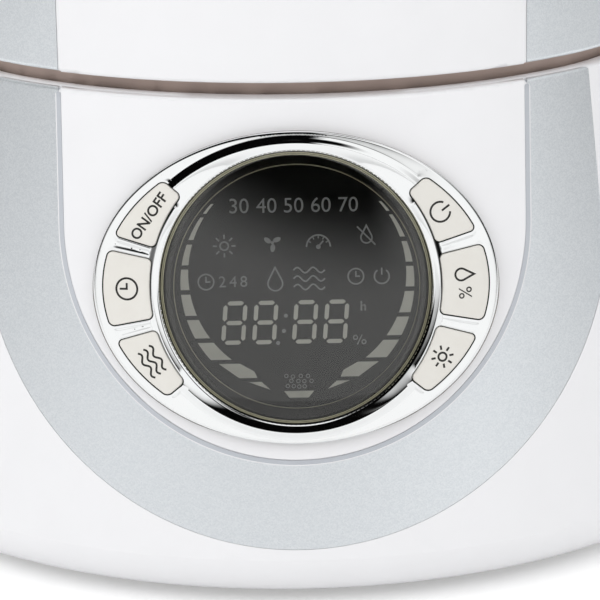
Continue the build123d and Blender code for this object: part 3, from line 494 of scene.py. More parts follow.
button = {"spacing": 28.0, "halfAngle": 11.5, "gap": 0.35, "corner": 1.4, "face": 4.3, "low": 0.65,
          "round": 0.4, "crown": 0.2, "crownReach": 2.0, "sideSteps": 40, "endSteps": 20, "gridStep": 0.9,
          "insets": (0.04, 0.1, 0.18, 0.28, 0.4, 0.6, 0.9, 1.2), "gridInset": 1.3, "gridHalf": (56, 43),
          "pen": 0.55}
buttonAngles = {"power": 180 - button["spacing"], "timer": 180, "mist": 180 + button["spacing"],
                "auto_off": button["spacing"], "humidity": 0, "dim": -button["spacing"]}


def buttonLoop(angle):
    middle, half = radians(angle), radians(button["halfAngle"])
    xRadius = bezel["halfWidth"] - bezel["rim"] - button["gap"]
    yRadius = bezel["halfHeight"] - bezel["rim"] - button["gap"]
    inner = bezel["ringOuter"] + button["gap"]

    def outer(turn):
        reach = 1 / np.sqrt((np.cos(turn) / xRadius) ** 2 + (np.sin(turn) / yRadius) ** 2)
        return np.stack([reach * np.cos(turn), reach * np.sin(turn)], 1)

    outerSide = outer(np.linspace(middle - half, middle + half, button["sideSteps"]))
    innerSide = arcOf(inner, inner, middle + half, middle - half, button["sideSteps"])
    return roundedLoop([
        outerSide, np.linspace(outerSide[-1], innerSide[0], button["endSteps"]),
        innerSide, np.linspace(innerSide[-1], outerSide[0], button["endSteps"])], button["corner"])


buttonLoops = {name: buttonLoop(angle) for name, angle in buttonAngles.items()}
openingLoops = {name: offsetLoop(loop, button["gap"]) for name, loop in buttonLoops.items()}


def crestRadius(flat):
    # The ring's crest is round beside the buttons and runs out to ovals above and below them
    u, v = flat[:, 0], flat[:, 1]
    r = np.hypot(u, v)
    across, up = np.where(v[:, None] > 0, bezel["topCrest"], bezel["lowCrest"]).T
    oval = r / np.sqrt((u / across) ** 2 + (v / up) ** 2)
    return bezel["sideCrest"] + ramp(np.abs(v) / r, *bezel["crestTurn"]) * (oval - bezel["sideCrest"])


def bezelTop(flat):
    u, v = flat[:, 0], flat[:, 1]
    r = np.hypot(u, v)
    a, b = bezel["halfWidth"], bezel["halfHeight"]
    level = np.sqrt((u / a) ** 2 + (v / b) ** 2)
    slope = np.sqrt((u / a ** 2) ** 2 + (v / b ** 2) ** 2) / np.maximum(level, tiny)
    edge = np.maximum((1 - level) / slope, 0)
    lean = bezel["lean"] * ramp(v, *bezel["leanZone"])
    plain = bezel["face"] - roundDrop(edge, bezel["round"])
    plain -= lean * smoothMax(edge - bezel["leanEdge"], 0, bezel["leanBlend"])
    crest = crestRadius(flat)
    inner = np.maximum(crest - r, 0) / (crest - bezel["ringInner"])
    turns = ramp(v / r, *bezel["topTurn"]) + ramp(v / r, *bezel["lowTurn"])
    steep = bezel["sideShare"] + (1 - bezel["sideShare"]) * turns
    ring = bezel["face"] + bezel["ringRaise"] - steep * bezel["innerDrop"] * inner ** bezel["innerCurve"]
    ring -= roundDrop(r - bezel["ringInner"], bezel["innerRound"])
    ring -= bezel["flankDrop"] * ramp(r - crest, 0, bezel["flankWidth"])
    ring -= np.maximum(r - crest - bezel["flankWidth"], 0)
    top = smoothMax(plain, ring, bezel["blend"])
    rise = bezel["beadTop"] * ramp(edge, bezel["beadEdge"], bezel["beadEdge"] + bezel["rim"])
    for loop in openingLoops.values():
        away = np.abs(distanceTo(flat, loop) - bezel["beadPlace"]) / bezel["beadWidth"]
        bead = bezel["face"] + rise * (1 - ramp(away, 0, 1))
        bead -= bezel["beadFall"] * np.clip(away - 1, 0, bezel["beadReach"])
        top = smoothMax(top, bead, bezel["beadBlend"])
    return top


def makeBezel():
    outline = ovalLoop(bezel["halfWidth"], bezel["halfHeight"], bezelGrid["outlineSteps"])
    hole = ovalLoop(bezel["ringInner"], bezel["ringInner"], bezelGrid["windowSteps"])
    ringEdge = bezel["ringOuter"] + bezelGrid["ringMore"]
    zone = bezel["flankWidth"] + bezelGrid["flankMore"]
    rays = ovalLoop(1.0, 1.0, bezelGrid["raySteps"])
    crest = crestRadius(rays)[:, None]
    first = bezel["ringInner"] + bezelGrid["riseStart"]
    reaches = [bezel["ringInner"] + d for d in bezelGrid["near"]]
    reaches += [first + t * (crest - first) for t in np.linspace(0, 1, bezelGrid["riseSteps"])]
    reaches += [crest + d for d in np.arange(bezelGrid["fallStep"], zone, bezelGrid["fallStep"])]
    circles = np.concatenate([rays * reach for reach in reaches])
    lips = np.concatenate([offsetLoop(outline, -d) for d in bezelGrid["lips"]])
    ovals = np.concatenate([offsetLoop(outline, -d) for d in np.arange(*bezelGrid["ovals"])])
    beads = []
    for name, loop in openingLoops.items():
        others = [other for label, other in openingLoops.items() if label != name]
        for d in bezelGrid["beads"]:
            spots = offsetLoop(loop, d)
            beads.append(spots[np.min([distanceTo(spots, other) for other in others], axis=0) > d])
    beads = np.concatenate(beads)

    def clearOf(spots):
        return np.min([distanceTo(spots, loop) for loop in openingLoops.values()], axis=0) > bezel["beadZone"]

    guides = [circles[(np.hypot(*circles.T) < ringEdge) | clearOf(circles)],
              beads[np.hypot(*beads.T) > ringEdge], lips[clearOf(lips)],
              ovals[clearOf(ovals) & (np.hypot(*ovals.T) > crestRadius(ovals) + zone)]]
    piece = frontPiece("chrome_bezel", outline, [hole, *openingLoops.values()], np.concatenate(guides),
                       bezelTop, bezel["low"], chromePlate, "base")
    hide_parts("control_bezel")


def capTop(loop, flat):
    # A rounded edge and a low crown
    edge = distanceTo(flat, loop)
    crown = button["crown"] * (1 - np.exp(-edge / button["crownReach"]))
    return button["face"] - roundDrop(edge, button["round"]) + crown


def makeButtons():
    rows = [np.arange(-half, half, button["gridStep"]) for half in button["gridHalf"]]
    grid = np.stack(np.meshgrid(*rows), -1).reshape(-1, 2)
    for name, loop in buttonLoops.items():
        guides = [offsetLoop(loop, -d) for d in button["insets"]]
        guides.append(grid[inside(grid, offsetLoop(loop, -button["gridInset"]))])
        piece = frontPiece(name + "_cap", loop, [], np.concatenate(guides), partial(capTop, loop),
                           button["low"], satinAbs, name + "_key")
        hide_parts(name + "_button")


# Gasket round the bezel, which shows below and beside it; its grey strip is painted shadow at the joint,
# widest at the lower sides where that shade shows

gasket = {"width": (0.03, 0.3), "top": 3.0, "gap": 0.01, "steps": 360,
          "lowFade": (-41.5, -35.5), "highFade": (10.0, -5.0)}


def makeGasketShadeLine():
    seat = ovalLoop(bezel["halfWidth"], bezel["halfHeight"], gasket["steps"])
    least, most = gasket["width"]
    share = ramp(seat[:, 1:], *gasket["lowFade"]) * ramp(seat[:, 1:], *gasket["highFade"])
    outline = offsetLoop(seat, least + (most - least) * share)
    # The strip's grey and its width, fading out at top and bottom, paint the shadow line at the joint
    frontPiece("bezel_gasket_shade_line", outline, [offsetLoop(seat, gasket["gap"])], (), gasket["top"], bezel["low"],
               gasketShadeRubber, "base")


# Bevel round the centre panel, as steps outward from the panel's edge and heights above the base's skin; the
# bevel's grey is painted shade

panelEdge = {"radius": 64.25, "centreUp": 16.3, "rim": 54.2, "rimRound": 1.2,
             "legSteps": 30, "turnSteps": 140,
             "bevel": ((0.76, -0.05), (0.76, 0.1), (-0.6, 1.02), (-0.62, 0.9)),
             "foot": ((1.06, -0.05), (1.0, 0.09), (0.75, 0.1), (0.74, -0.05))}


def makePanelEdge():
    legs = np.linspace(panelEdge["rim"], panelEdge["centreUp"], panelEdge["legSteps"])[:-1]
    turn = arcOf(1.0, 1.0, pi, 2 * pi, panelEdge["turnSteps"])
    # The bevel takes the grey copy of the white ABS, which paints the shade of an edge turned away from the
    # light
    for name, material in (("bevel", shadedBevelAbs), ("foot", glossAbs)):
        rings = []
        for step, height in panelEdge[name]:
            reach = panelEdge["radius"] + step
            left = np.stack([np.full(len(legs), -reach), legs], 1)
            path = np.concatenate([left, turn * reach + (0, panelEdge["centreUp"]), left[::-1] * (-1, 1)])
            sink = roundDrop(panelEdge["rim"] - path[:, 1], panelEdge["rimRound"])  # as the rim does
            rings.append(frontPoints(path, height - sink))
        count, sides = len(rings[0]), len(rings)
        starts = [(s * count, (s + 1) % sides * count) for s in range(sides)]
        faces = [(a + i, a + i + 1, b + i + 1, b + i) for a, b in starts for i in range(count - 1)]
        faces += [[a for a, _ in starts], [a + count - 1 for a, _ in reversed(starts)]]
        addPiece("panel_" + name, np.concatenate(rings), faces, material, "base")


makeBezel()
makeButtons()
makeGasketShadeLine()
makePanelEdge()
print("bezel, buttons and panel edge made")


# Display window

window = {"radius": 36.75, "low": 2.0, "thick": 1.6, "bevel": 1.0, "bevelDrop": 0.55, "dome": 1.0,
          "edgeSteps": 240, "ringSteps": 180, "ringPitch": 1.5, "insets": (0.3, 0.6, 0.9, 1.0, 1.1, 1.3),
          "bevelSheenLines": ((36.1, 0.26), (36.53, 0.36))}


def windowLow(flat):
    return window["low"] + window["dome"] * (1 - (np.hypot(*flat.T) / window["radius"]) ** 2)


def windowTop(flat):
    edge = window["radius"] - np.hypot(*flat.T)
    bevel = window["bevelDrop"] * np.maximum(1 - edge / window["bevel"], 0)
    return windowLow(flat) + window["thick"] - bevel


def makeWindow():
    outline = ovalLoop(window["radius"], window["radius"], window["edgeSteps"])
    reaches = np.arange(window["ringPitch"], window["radius"] - window["bevel"], window["ringPitch"])
    guides = [ovalLoop(reach, reach, window["ringSteps"]) for reach in reaches]
    guides += [offsetLoop(outline, -d) for d in window["insets"]]
    piece = frontPiece("display_window", outline, [], np.concatenate(guides), windowTop, windowLow,
                       acrylic, "base")
    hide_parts("display_lens")


makeWindow()


# Printed signs: flat shapes as outlines with openings, in millimetres

def strokeOf(points, width):
    points = np.asarray(points, float)
    along = np.gradient(points, axis=0)
    side = np.stack([-along[:, 1], along[:, 0]], 1)
    side *= width / 2 / np.linalg.norm(side, axis=1)[:, None]
    return np.concatenate([points - side, (points + side)[::-1]]), []


def ringOf(x, y, radius, width, steps=40):
    outer, inner = radius + width / 2, radius - width / 2
    return ovalLoop(outer, outer, steps) + (x, y), [ovalLoop(inner, inner, steps) + (x, y)]


def spotOf(x, y, radius):
    return ovalLoop(radius, radius, 32) + (x, y), []


def dropLoop(x, y, radius):
    arc = arcOf(radius, radius, radians(153), radians(387), 40)
    return np.concatenate([arc, [(0, 2.2 * radius)]]) + (x, y)


def dropOf(x, y, radius, width):
    return dropLoop(x, y, radius), [dropLoop(x, y, radius - width)]


def clockOf(x, y, radius, width):
    return [ringOf(x, y, radius, width), strokeOf([(x, y - width / 2), (x, y + 0.68 * radius)], width),
            strokeOf([(x, y), (x + 0.55 * radius, y)], width)]


def sunOf(x, y, radius, width):
    rays = [np.array([0.62, 1.0])[:, None] * radius * (cos(a), sin(a)) + (x, y)
            for a in np.arange(8) * pi / 4]
    return [ringOf(x, y, 0.36 * radius, width), *(strokeOf(ray, width) for ray in rays)]


def standbyOf(x, y, radius, width):
    return [strokeOf(arcOf(radius, radius, radians(125), radians(415), 40) + (x, y), width),
            strokeOf([(x, y + 0.2 * radius), (x, y + 1.15 * radius)], width)]


def wavesOf(x, y, length, pitch, width, count=3):
    run = np.linspace(-length / 2, length / 2, 40)
    wave = np.stack([run, 0.32 * pitch * np.sin(run / length * 4 * pi)], 1)
    return [strokeOf(wave + (x, y + (i - (count - 1) / 2) * pitch), width) for i in range(count)]


def gaugeOf(x, y, radius, width):
    ticks = [np.array([0.72, 0.92])[:, None] * radius * (cos(a), sin(a)) + (x, y)
             for a in radians(30) * np.arange(1, 6)]
    return [strokeOf(arcOf(radius, radius, radians(0), radians(180), 40) + (x, y), width),
            strokeOf([(x - 0.1, y), (x + 0.42 * radius, y + 0.5 * radius)], width),
            spotOf(x, y, 0.2 * radius),
            *(strokeOf(tick, 0.7 * width) for tick in ticks)]


def percentOf(x, y, reach, width):
    return [ringOf(x - 0.85 * reach, y + 0.45 * reach, 0.4 * reach, width),
            ringOf(x + 0.85 * reach, y - 0.45 * reach, 0.4 * reach, width),
            strokeOf([(x - 0.5 * reach, y - reach), (x + 0.5 * reach, y + reach)], width)]


def rotorOf(x, y, radius, firstTurn=0.4):
    petal = ovalLoop(0.42 * radius, 0.25 * radius, 32) + (0.55 * radius, 0.1 * radius)
    turns = [degrees(firstTurn) + 120 * i for i in range(3)]
    return [spotOf(x, y, 0.16 * radius), *((turnedBy(petal, turn) + (x, y), []) for turn in turns)]


def areaMiddle(loop):
    after = np.roll(loop, -1, 0)
    cross = loop[:, 0] * after[:, 1] - after[:, 0] * loop[:, 1]
    return ((loop + after) * cross[:, None]).sum(0) / (3 * cross.sum())


def shapeMesh(shapes):
    # Triangles of several shapes, as one flat mesh
    return joinMeshes([triangulate(outline, openings) for outline, openings in shapes])


def meshArrays(mesh):
    mesh.calc_loop_triangles()
    flat = np.array([vertex.co[:2] for vertex in mesh.vertices])
    return flat, facingUp(flat, np.array([triangle.vertices[:] for triangle in mesh.loop_triangles]))[0]


def letterMesh(words, height, weight=0.0):
    # Lettering centred on the origin, scaled to the height of its figures
    curve = bpy.data.curves.new("lettering", "FONT")
    curve.body = words
    curve.resolution_u = 5
    curve.offset = weight
    thing = addObject("lettering", curve)
    mesh = bpy.data.meshes.new_from_object(thing.evaluated_get(bpy.context.evaluated_depsgraph_get()))
    flat, faces = meshArrays(mesh)
    bpy.data.objects.remove(thing)
    bpy.data.curves.remove(curve)
    bpy.data.meshes.remove(mesh)
    middle = (flat.max(0) + flat.min(0)) / 2
    return (flat - middle) * height / (flat[:, 1].max() - flat[:, 1].min()), faces


def joinMeshes(parts):
    count, flats, faces = 0, [], []
    for flat, tris in parts:
        flats.append(flat)
        faces.append(tris + count)
        count += len(flat)
    return np.concatenate(flats), np.concatenate(faces)


def turnedBy(flat, angle):
    a = radians(angle)
    return flat @ np.array([[cos(a), sin(a)], [-sin(a), cos(a)]])


def printPiece(name, flat, faces, level, place, material, body, slot, thickness=0.03):
    height = heights(level, flat)
    points, sides = closedBody(flat, faces, height + thickness, height - thickness, place)
    addPiece(name, points, sides, material, body)


# Button signs

def makeButtonSigns():
    pen = button["pen"]
    percent = letterMesh("%", 3.6)
    marks = {
        "power": (54, [letterMesh("ON/OFF", 3.0, 0.02)]),
        "timer": (90, [shapeMesh(clockOf(0, 0, 2.9, pen))]),
        "mist": (126, [shapeMesh(wavesOf(0, 0, 8.0, 1.9, pen))]),
        "auto_off": (-54, [shapeMesh(standbyOf(0, -0.2, 2.7, pen))]),
        "humidity": (-90, [shapeMesh([dropOf(-2.4, -1.1, 1.9, pen)]), (percent[0] + (2.6, 0), percent[1])]),
        "dim": (-126, [shapeMesh(sunOf(0, 0, 3.1, pen))]),
    }
    for name, (turn, parts) in marks.items():
        flat, faces = joinMeshes(parts)
        flat = turnedBy(flat, turn) + areaMiddle(buttonLoops[name])
        printPiece(name + "_sign", flat, faces, partial(capTop, buttonLoops[name]), frontPoints,
                   padInk, name + "_key", "black_plastic")


# Geometry Nodes trees for what repeats

def growTree(name, inputs):
    tree = bpy.data.node_groups.new(name, "GeometryNodeTree")
    tree.interface.new_socket("Geometry", in_out="INPUT", socket_type="NodeSocketGeometry")
    for label, kind in inputs.items():
        tree.interface.new_socket(label, in_out="INPUT", socket_type="NodeSocket" + kind)
    tree.interface.new_socket("Geometry", in_out="OUTPUT", socket_type="NodeSocketGeometry")
    return tree, tree.nodes.new("NodeGroupInput").outputs


def endTree(tree, geometry, finish):
    real = addNode(tree, "GeometryNodeRealizeInstances", None, {0: geometry})
    done = addNode(tree, "GeometryNodeSetMaterial", None, {"Geometry": real.outputs[0], "Material": finish})
    addNode(tree, "NodeGroupOutput", None, {0: done.outputs[0]})


def grow(name, tree, seeds, values, turns=None):
    # The tree's result on the seed points, as a plain mesh
    mesh = bpy.data.meshes.new(name)
    mesh.from_pydata([tuple(p) for p in seeds], [], [])
    if turns is not None:
        mesh.attributes.new("turn", "FLOAT", "POINT").data.foreach_set("value", turns)
    carrier = addObject(name, mesh)
    modifier = carrier.modifiers.new(name, "NODES")
    modifier.node_group = tree
    for item in tree.interface.items_tree:
        if item.in_out == "INPUT" and item.name in values:
            modifier[item.identifier] = values[item.name]
    grown = bpy.data.meshes.new_from_object(carrier.evaluated_get(bpy.context.evaluated_depsgraph_get()))
    carrier.modifiers.remove(modifier)
    bpy.data.objects.remove(carrier)
    return grown


def digitTree():
    # A pointed bar on every seed, turned as the seed says and slanted about the row's middle
    tree, given = growTree("segmentRow", {"Bar Straight": "Float", "Bar Width": "Float", "Bar Rise": "Float",
                                          "Lean": "Float", "Row Middle": "Float", "Ink": "Material"})
    hexagon = addNode(tree, "GeometryNodeMeshCircle", {"fill_type": "NGON", "Vertices": 6, "Radius": 1.0})
    place = addNode(tree, "GeometryNodeInputPosition").outputs[0]
    spot = addNode(tree, "ShaderNodeSeparateXYZ", None, {0: place}).outputs
    values = {"x": spot[0], "y": spot[1], **dict(given.items())}
    for name, operation, *terms in (
            ("side", "SIGN", "x"), ("straight", "MULTIPLY", "side", "Bar Straight"),
            ("across", "MULTIPLY_ADD", "x", "Bar Width", "straight"), ("up", "MULTIPLY", "y", "Bar Rise"),
            ("rise", "SUBTRACT", "y", "Row Middle"), ("lean", "MULTIPLY", "rise", "Lean")):
        links = {i: values[term] for i, term in enumerate(terms)}
        values[name] = addNode(tree, "ShaderNodeMath", {"operation": operation}, links).outputs[0]
    corner = addNode(tree, "ShaderNodeCombineXYZ", None, {0: values["across"], 1: values["up"]})
    bar = addNode(tree, "GeometryNodeSetPosition", None,
                  {"Geometry": hexagon.outputs[0], "Position": corner.outputs[0]})
    turn = addNode(tree, "GeometryNodeInputNamedAttribute", {"data_type": "FLOAT", "Name": "turn"})
    spin = addNode(tree, "ShaderNodeCombineXYZ", None, {2: turn.outputs["Attribute"]})
    bars = addNode(tree, "GeometryNodeInstanceOnPoints", None, {
        "Points": given["Geometry"], "Instance": bar.outputs[0], "Rotation": spin.outputs[0]})
    flat = addNode(tree, "GeometryNodeRealizeInstances", None, {0: bars.outputs[0]})
    shift = addNode(tree, "ShaderNodeCombineXYZ", None, {0: values["lean"]})
    slanted = addNode(tree, "GeometryNodeSetPosition", None,
                      {"Geometry": flat.outputs[0], "Offset": shift.outputs[0]})
    endTree(tree, slanted.outputs[0], given["Ink"])
    return tree


def bubbleTree():
    # A ring on every seed, moved a little by a seeded random amount
    tree, given = growTree("mistBubbles", {"Outer Radius": "Float", "Inner Radius": "Float", "Drift": "Float",
                                           "Seed": "Int", "Ink": "Material"})
    both = addNode(tree, "GeometryNodeJoinGeometry")
    for edge in ("Outer Radius", "Inner Radius"):
        loop = addNode(tree, "GeometryNodeCurvePrimitiveCircle", {"Resolution": 20}, {"Radius": given[edge]})
        tree.links.new(loop.outputs[0], both.inputs[0])
    ring = addNode(tree, "GeometryNodeFillCurve", None, {0: both.outputs[0]})
    least = addNode(tree, "ShaderNodeMath", {"operation": "MULTIPLY", 1: -1.0}, {0: given["Drift"]})
    drift = addNode(tree, "FunctionNodeRandomValue", {"data_type": "FLOAT_VECTOR"}, {
        "Min": least.outputs[0], "Max": given["Drift"], "Seed": given["Seed"]})
    moved = addNode(tree, "GeometryNodeSetPosition", None,
                    {"Geometry": given["Geometry"], "Offset": drift.outputs[0]})
    rings = addNode(tree, "GeometryNodeInstanceOnPoints", None,
                    {"Points": moved.outputs[0], "Instance": ring.outputs[0]})
    endTree(tree, rings.outputs[0], given["Ink"])
    return tree


# Display signs

display = {"depth": -3.2, "lift": 0.06,
           "digitHeight": 11.9, "digitWidth": 6.5, "rowMiddle": -9.8, "slant": 5.0,
           "barLength": 4.5, "barWidth": 1.15, "digitPlaces": (-16.87, -8.5, 2.3, 10.67),
           "bubbleRows": ((-3.1, 1.95, -24.65), (-1.6, 1.75, -26.0), (-2.6, 1.5, -27.4)),
           "bubblesInRow": 4, "bubbleRadius": 0.48, "bubbleWidth": 0.22, "bubbleDrift": 0.12, "bubbleSeed": 4,
           "outerArc": (31.6, 0.47), "innerArc": (29.45, 2.9), "barSpread": 0.6, "barShift": (0.38, 0.45),
           "barSteps": 8,
           "dish": ((-3.72, -28.7), (-2.3, -30.55), (2.9, -30.55), (4.46, -28.7)),
           "cornerBars": (((21.1, -21.4), (15.4, -21.4), (11.5, -23.6), (10.7, -25.4), (15.6, -25.4)),
                          ((13.15, -26.5), (9.6, -26.5), (7.2, -28.7))),
           "borderPlace": (0.2, -0.2), "borderRadius": 33.25, "borderWidth": 0.3, "borderSteps": 180}
levelBars = ((22.2, 19.6), (18.6, 12.55), (11.3, 5.7), (4.55, -1.05), (-2.3, -8.1), (-9.27, -14.3),
             (-15.55, -20.3))
signs = {"pen": 0.42, "scale": ("30", "40", "50", "60", "70"), "scaleRow": (4.0, -15.0, 7.35, 22.0),
         "hours": ("2", "4", "8"), "hoursRow": (3.0, -19.9, 2.9, 1.5), "hourMark": (18.1, -5.7),
         "dotRadius": 0.56, "dots": ((-2.88, -8.03), (-3.49, -12.2), (-5.12, -15.47))}


def displayPrint(name, flat, faces, ink):
    printPiece(name, flat, faces, display["depth"] + display["lift"], planePoints,
               ink, "base", "display_glass")


def makeDigits():
    halfWidth = (display["digitWidth"] - display["barWidth"]) / 2
    halfHeight = (display["digitHeight"] - display["barWidth"]) / 2
    bars = [(0, halfHeight, 0), (0, 0, 0), (0, -halfHeight, 0)]
    bars += [(x, y, pi / 2) for x in (-halfWidth, halfWidth) for y in (-halfHeight / 2, halfHeight / 2)]
    seeds = [(place + x, display["rowMiddle"] + y, 0)
             for place in display["digitPlaces"] for x, y, _ in bars]
    turns = [turn for _ in display["digitPlaces"] for *_, turn in bars]
    row = grow("digitRow", digitTree(), seeds, {
        "Bar Straight": display["barLength"] / 2 - display["barWidth"], "Bar Width": display["barWidth"],
        "Bar Rise": display["barWidth"] / sqrt(3), "Lean": tan(radians(display["slant"])),
        "Row Middle": display["rowMiddle"], "Ink": segmentInk}, turns)
    displayPrint("display_digits", *meshArrays(row), segmentInk)


def makeBubbles():
    seeds = [(start + pitch * i, level, 0) for start, pitch, level in display["bubbleRows"]
             for i in range(display["bubblesInRow"])]
    cloud = grow("bubbleCloud", bubbleTree(), seeds, {
        "Outer Radius": display["bubbleRadius"] + display["bubbleWidth"] / 2,
        "Inner Radius": display["bubbleRadius"] - display["bubbleWidth"] / 2,
        "Drift": display["bubbleDrift"], "Seed": display["bubbleSeed"], "Ink": signInk})
    displayPrint("display_bubbles", *meshArrays(cloud), signInk)


def makeLevelBars():
    shapes = [(np.array(display["dish"]), [])]
    for side in (-1, 1):
        for top, low in levelBars:
            v = np.linspace(top, low, display["barSteps"])
            outer, inner = [np.stack([side * np.sqrt(radius ** 2 - (v - up) ** 2), v], 1)
                            for radius, up in (display["outerArc"], display["innerArc"])]
            shapes.append((np.concatenate([outer, inner[::-1]]) + display["barShift"], []))
        for corners in display["cornerBars"]:
            wide = np.array(corners) + (display["barSpread"], 0)
            shapes.append((wide * (side, 1) + display["barShift"], []))
    displayPrint("display_level_bars", *shapeMesh(shapes), segmentInk)


def figureRow(figures, height, start, pitch, level):
    row = [letterMesh(figure, height) for figure in figures]
    return [(flat + (start + pitch * i, level), faces) for i, (flat, faces) in enumerate(row)]


def makeSigns():
    pen = signs["pen"]
    shapes = [*sunOf(-19.2, 11.2, 3.1, pen), *clockOf(-24.3, 1.5, 2.1, pen), *rotorOf(-6.2, 11.9, 2.6),
              *gaugeOf(6.2, 10.6, 3.2, pen), dropOf(19.2, 12.9, 1.7, pen),
              strokeOf([(16.7, 15.9), (21.6, 10.9)], pen), dropOf(-5.6, 0.8, 2.2, pen),
              *wavesOf(3.6, 2.0, 8.5, 2.3, pen), *clockOf(16.2, 2.4, 2.1, pen),
              *standbyOf(23.2, 2.3, 2.0, pen), *(spotOf(*dot, signs["dotRadius"]) for dot in signs["dots"]),
              *percentOf(17.0, -14.9, 1.35, 0.34)]
    hour = letterMesh("h", 2.6, 0.02)
    displayPrint("display_signs", *joinMeshes([
        shapeMesh(shapes), *figureRow(signs["scale"], *signs["scaleRow"]),
        *figureRow(signs["hours"], *signs["hoursRow"]), (hour[0] + signs["hourMark"], hour[1])]), signInk)
    steps = display["borderSteps"]
    # The two olive rings on the window's bevel are painted reflection lines of the bevel, not print
    bevelSheenLines = [ringOf(0, 0, radius, width, steps) for radius, width in window["bevelSheenLines"]]
    printPiece("window_bevel_sheen", *shapeMesh(bevelSheenLines), windowTop, frontPoints,
               borderAndSheenInk, "base", "black_plastic")
    border = ringOf(*display["borderPlace"], display["borderRadius"], display["borderWidth"], steps)
    displayPrint("display_border", *shapeMesh([border]), borderAndSheenInk)


makeButtonSigns()
makeDigits()
makeBubbles()
makeLevelBars()
makeSigns()
print("signs printed")


# Finish on the solids

skins = {
    "base_housing": glossAbs, "front_panel": glossAbs, "tank_shell": glossAbs, "mist_nozzle": glossAbs,
    "nozzle_seat": glossAbs, "base_trim_band": silverPaint, "tank_trim_band": silverPaint,
    # The tank's foot takes the warm tint painted as the gap's shade and bounce light
    "nozzle_trim_ring": silverPaint, "display_shroud": blackAbs, "tank_floor": warmGapShadeAbs,
    "water_basin": mattPolypropylene, "mist_tube": mattPolypropylene, "cord_gland": blackRubber,
    "cord_cup": glossAbs, "air_riser": mattPolypropylene, "filler_neck": mattPolypropylene,
    "tank_cap": mattPolypropylene, "water_float": mattPolypropylene,
    **{f"foot_{end}_{side}": blackRubber for end in ("front", "rear") for side in ("left", "right")},
}
wallDraft = dict.fromkeys(("base_housing", "front_panel", "base_trim_band"), wall["baseDraft"])
wallDraft |= dict.fromkeys(("tank_shell", "tank_trim_band"), wall["tankDraft"])
for node, material in skins.items():
    skin = smoothCopy(node, material)
    if node in wallDraft:
        wallNormals(skin, wallDraft[node])
slotFinish = {
    "white_shell": glossAbs, "silver_trim": silverPaint, "chrome_bezel": chromePlate, "button_cap": satinAbs,
    "display_window": acrylic, "black_plastic": blackAbs, "display_glass": displayGlass,
    "inner_white": mattPolypropylene, "circuit_board": solderMask, "component_black": epoxyBody,
    "core_iron": varnishedIron, "sink_aluminium": extrudedAluminium, "screw_steel": zincSteel,
    "black_rubber": blackRubber, "clear_silicone": clearSilicone,
}
for node, thing in nodes.items():
    thing.data.materials.clear()
    thing.data.materials.append(slotFinish[nodeSlot[node]])
print("finishes on", len(nodes), "solids")


# Stage: pale floor, white surround and softboxes

stage = {"floorHalf": 3.0, "fill": 0.785, "floorLift": 0.3, "roomTilt": 0.08, "roomShade": "#040404",
         "sideShade": "#000000", "aim": (0, 0, 0.1)}
# What mirrors see: the axis that counts, where a zone starts, where it is full, and its strength there
zones = {
    "roomLow": ("tilted", 0.11, 0.235, 1.0), "roomHigh": ("z", 0.985, 0.94, 1.0),
    "roomFront": ("y", 0.25, 0.0, 1.0), "roomRight": ("x", 0.62, 0.35, 1.0),
    "cardRight": ("x", 0.1, 0.22, 1.0), "cardLow": ("z", 0.26, 0.4, 1.0), "cardHigh": ("z", 0.88, 0.76, 1.0),
    "sideRight": ("x", 0.7, 1.0, 1.0), "sideLeft": ("x", -0.7, -1.0, 0.85), "back": ("y", 0.1, 0.5, 0.9),
}
# How they join: the share that is made, the sum, and the two shares that it takes
zoneSums = (
    ("card", "MULTIPLY", "cardRight", "cardLow"), ("card", "MULTIPLY", "card", "cardHigh"),
    ("room", "MULTIPLY", "glossy", "roomLow"), ("room", "MULTIPLY", "room", "roomHigh"),
    ("room", "MULTIPLY", "room", "roomFront"), ("room", "MULTIPLY", "room", "roomRight"),
    ("hidden", "MULTIPLY", "room", "card"), ("room", "SUBTRACT", "room", "hidden"),
    ("sides", "ADD", "sideRight", "sideLeft"), ("sides", "ADD", "sides", "back"),
    ("sides", "MULTIPLY", "sides", "glossy"),
    ("looks", "MAXIMUM", "camera", "glossy"), ("looks", "MAXIMUM", "looks", "glass"),
)


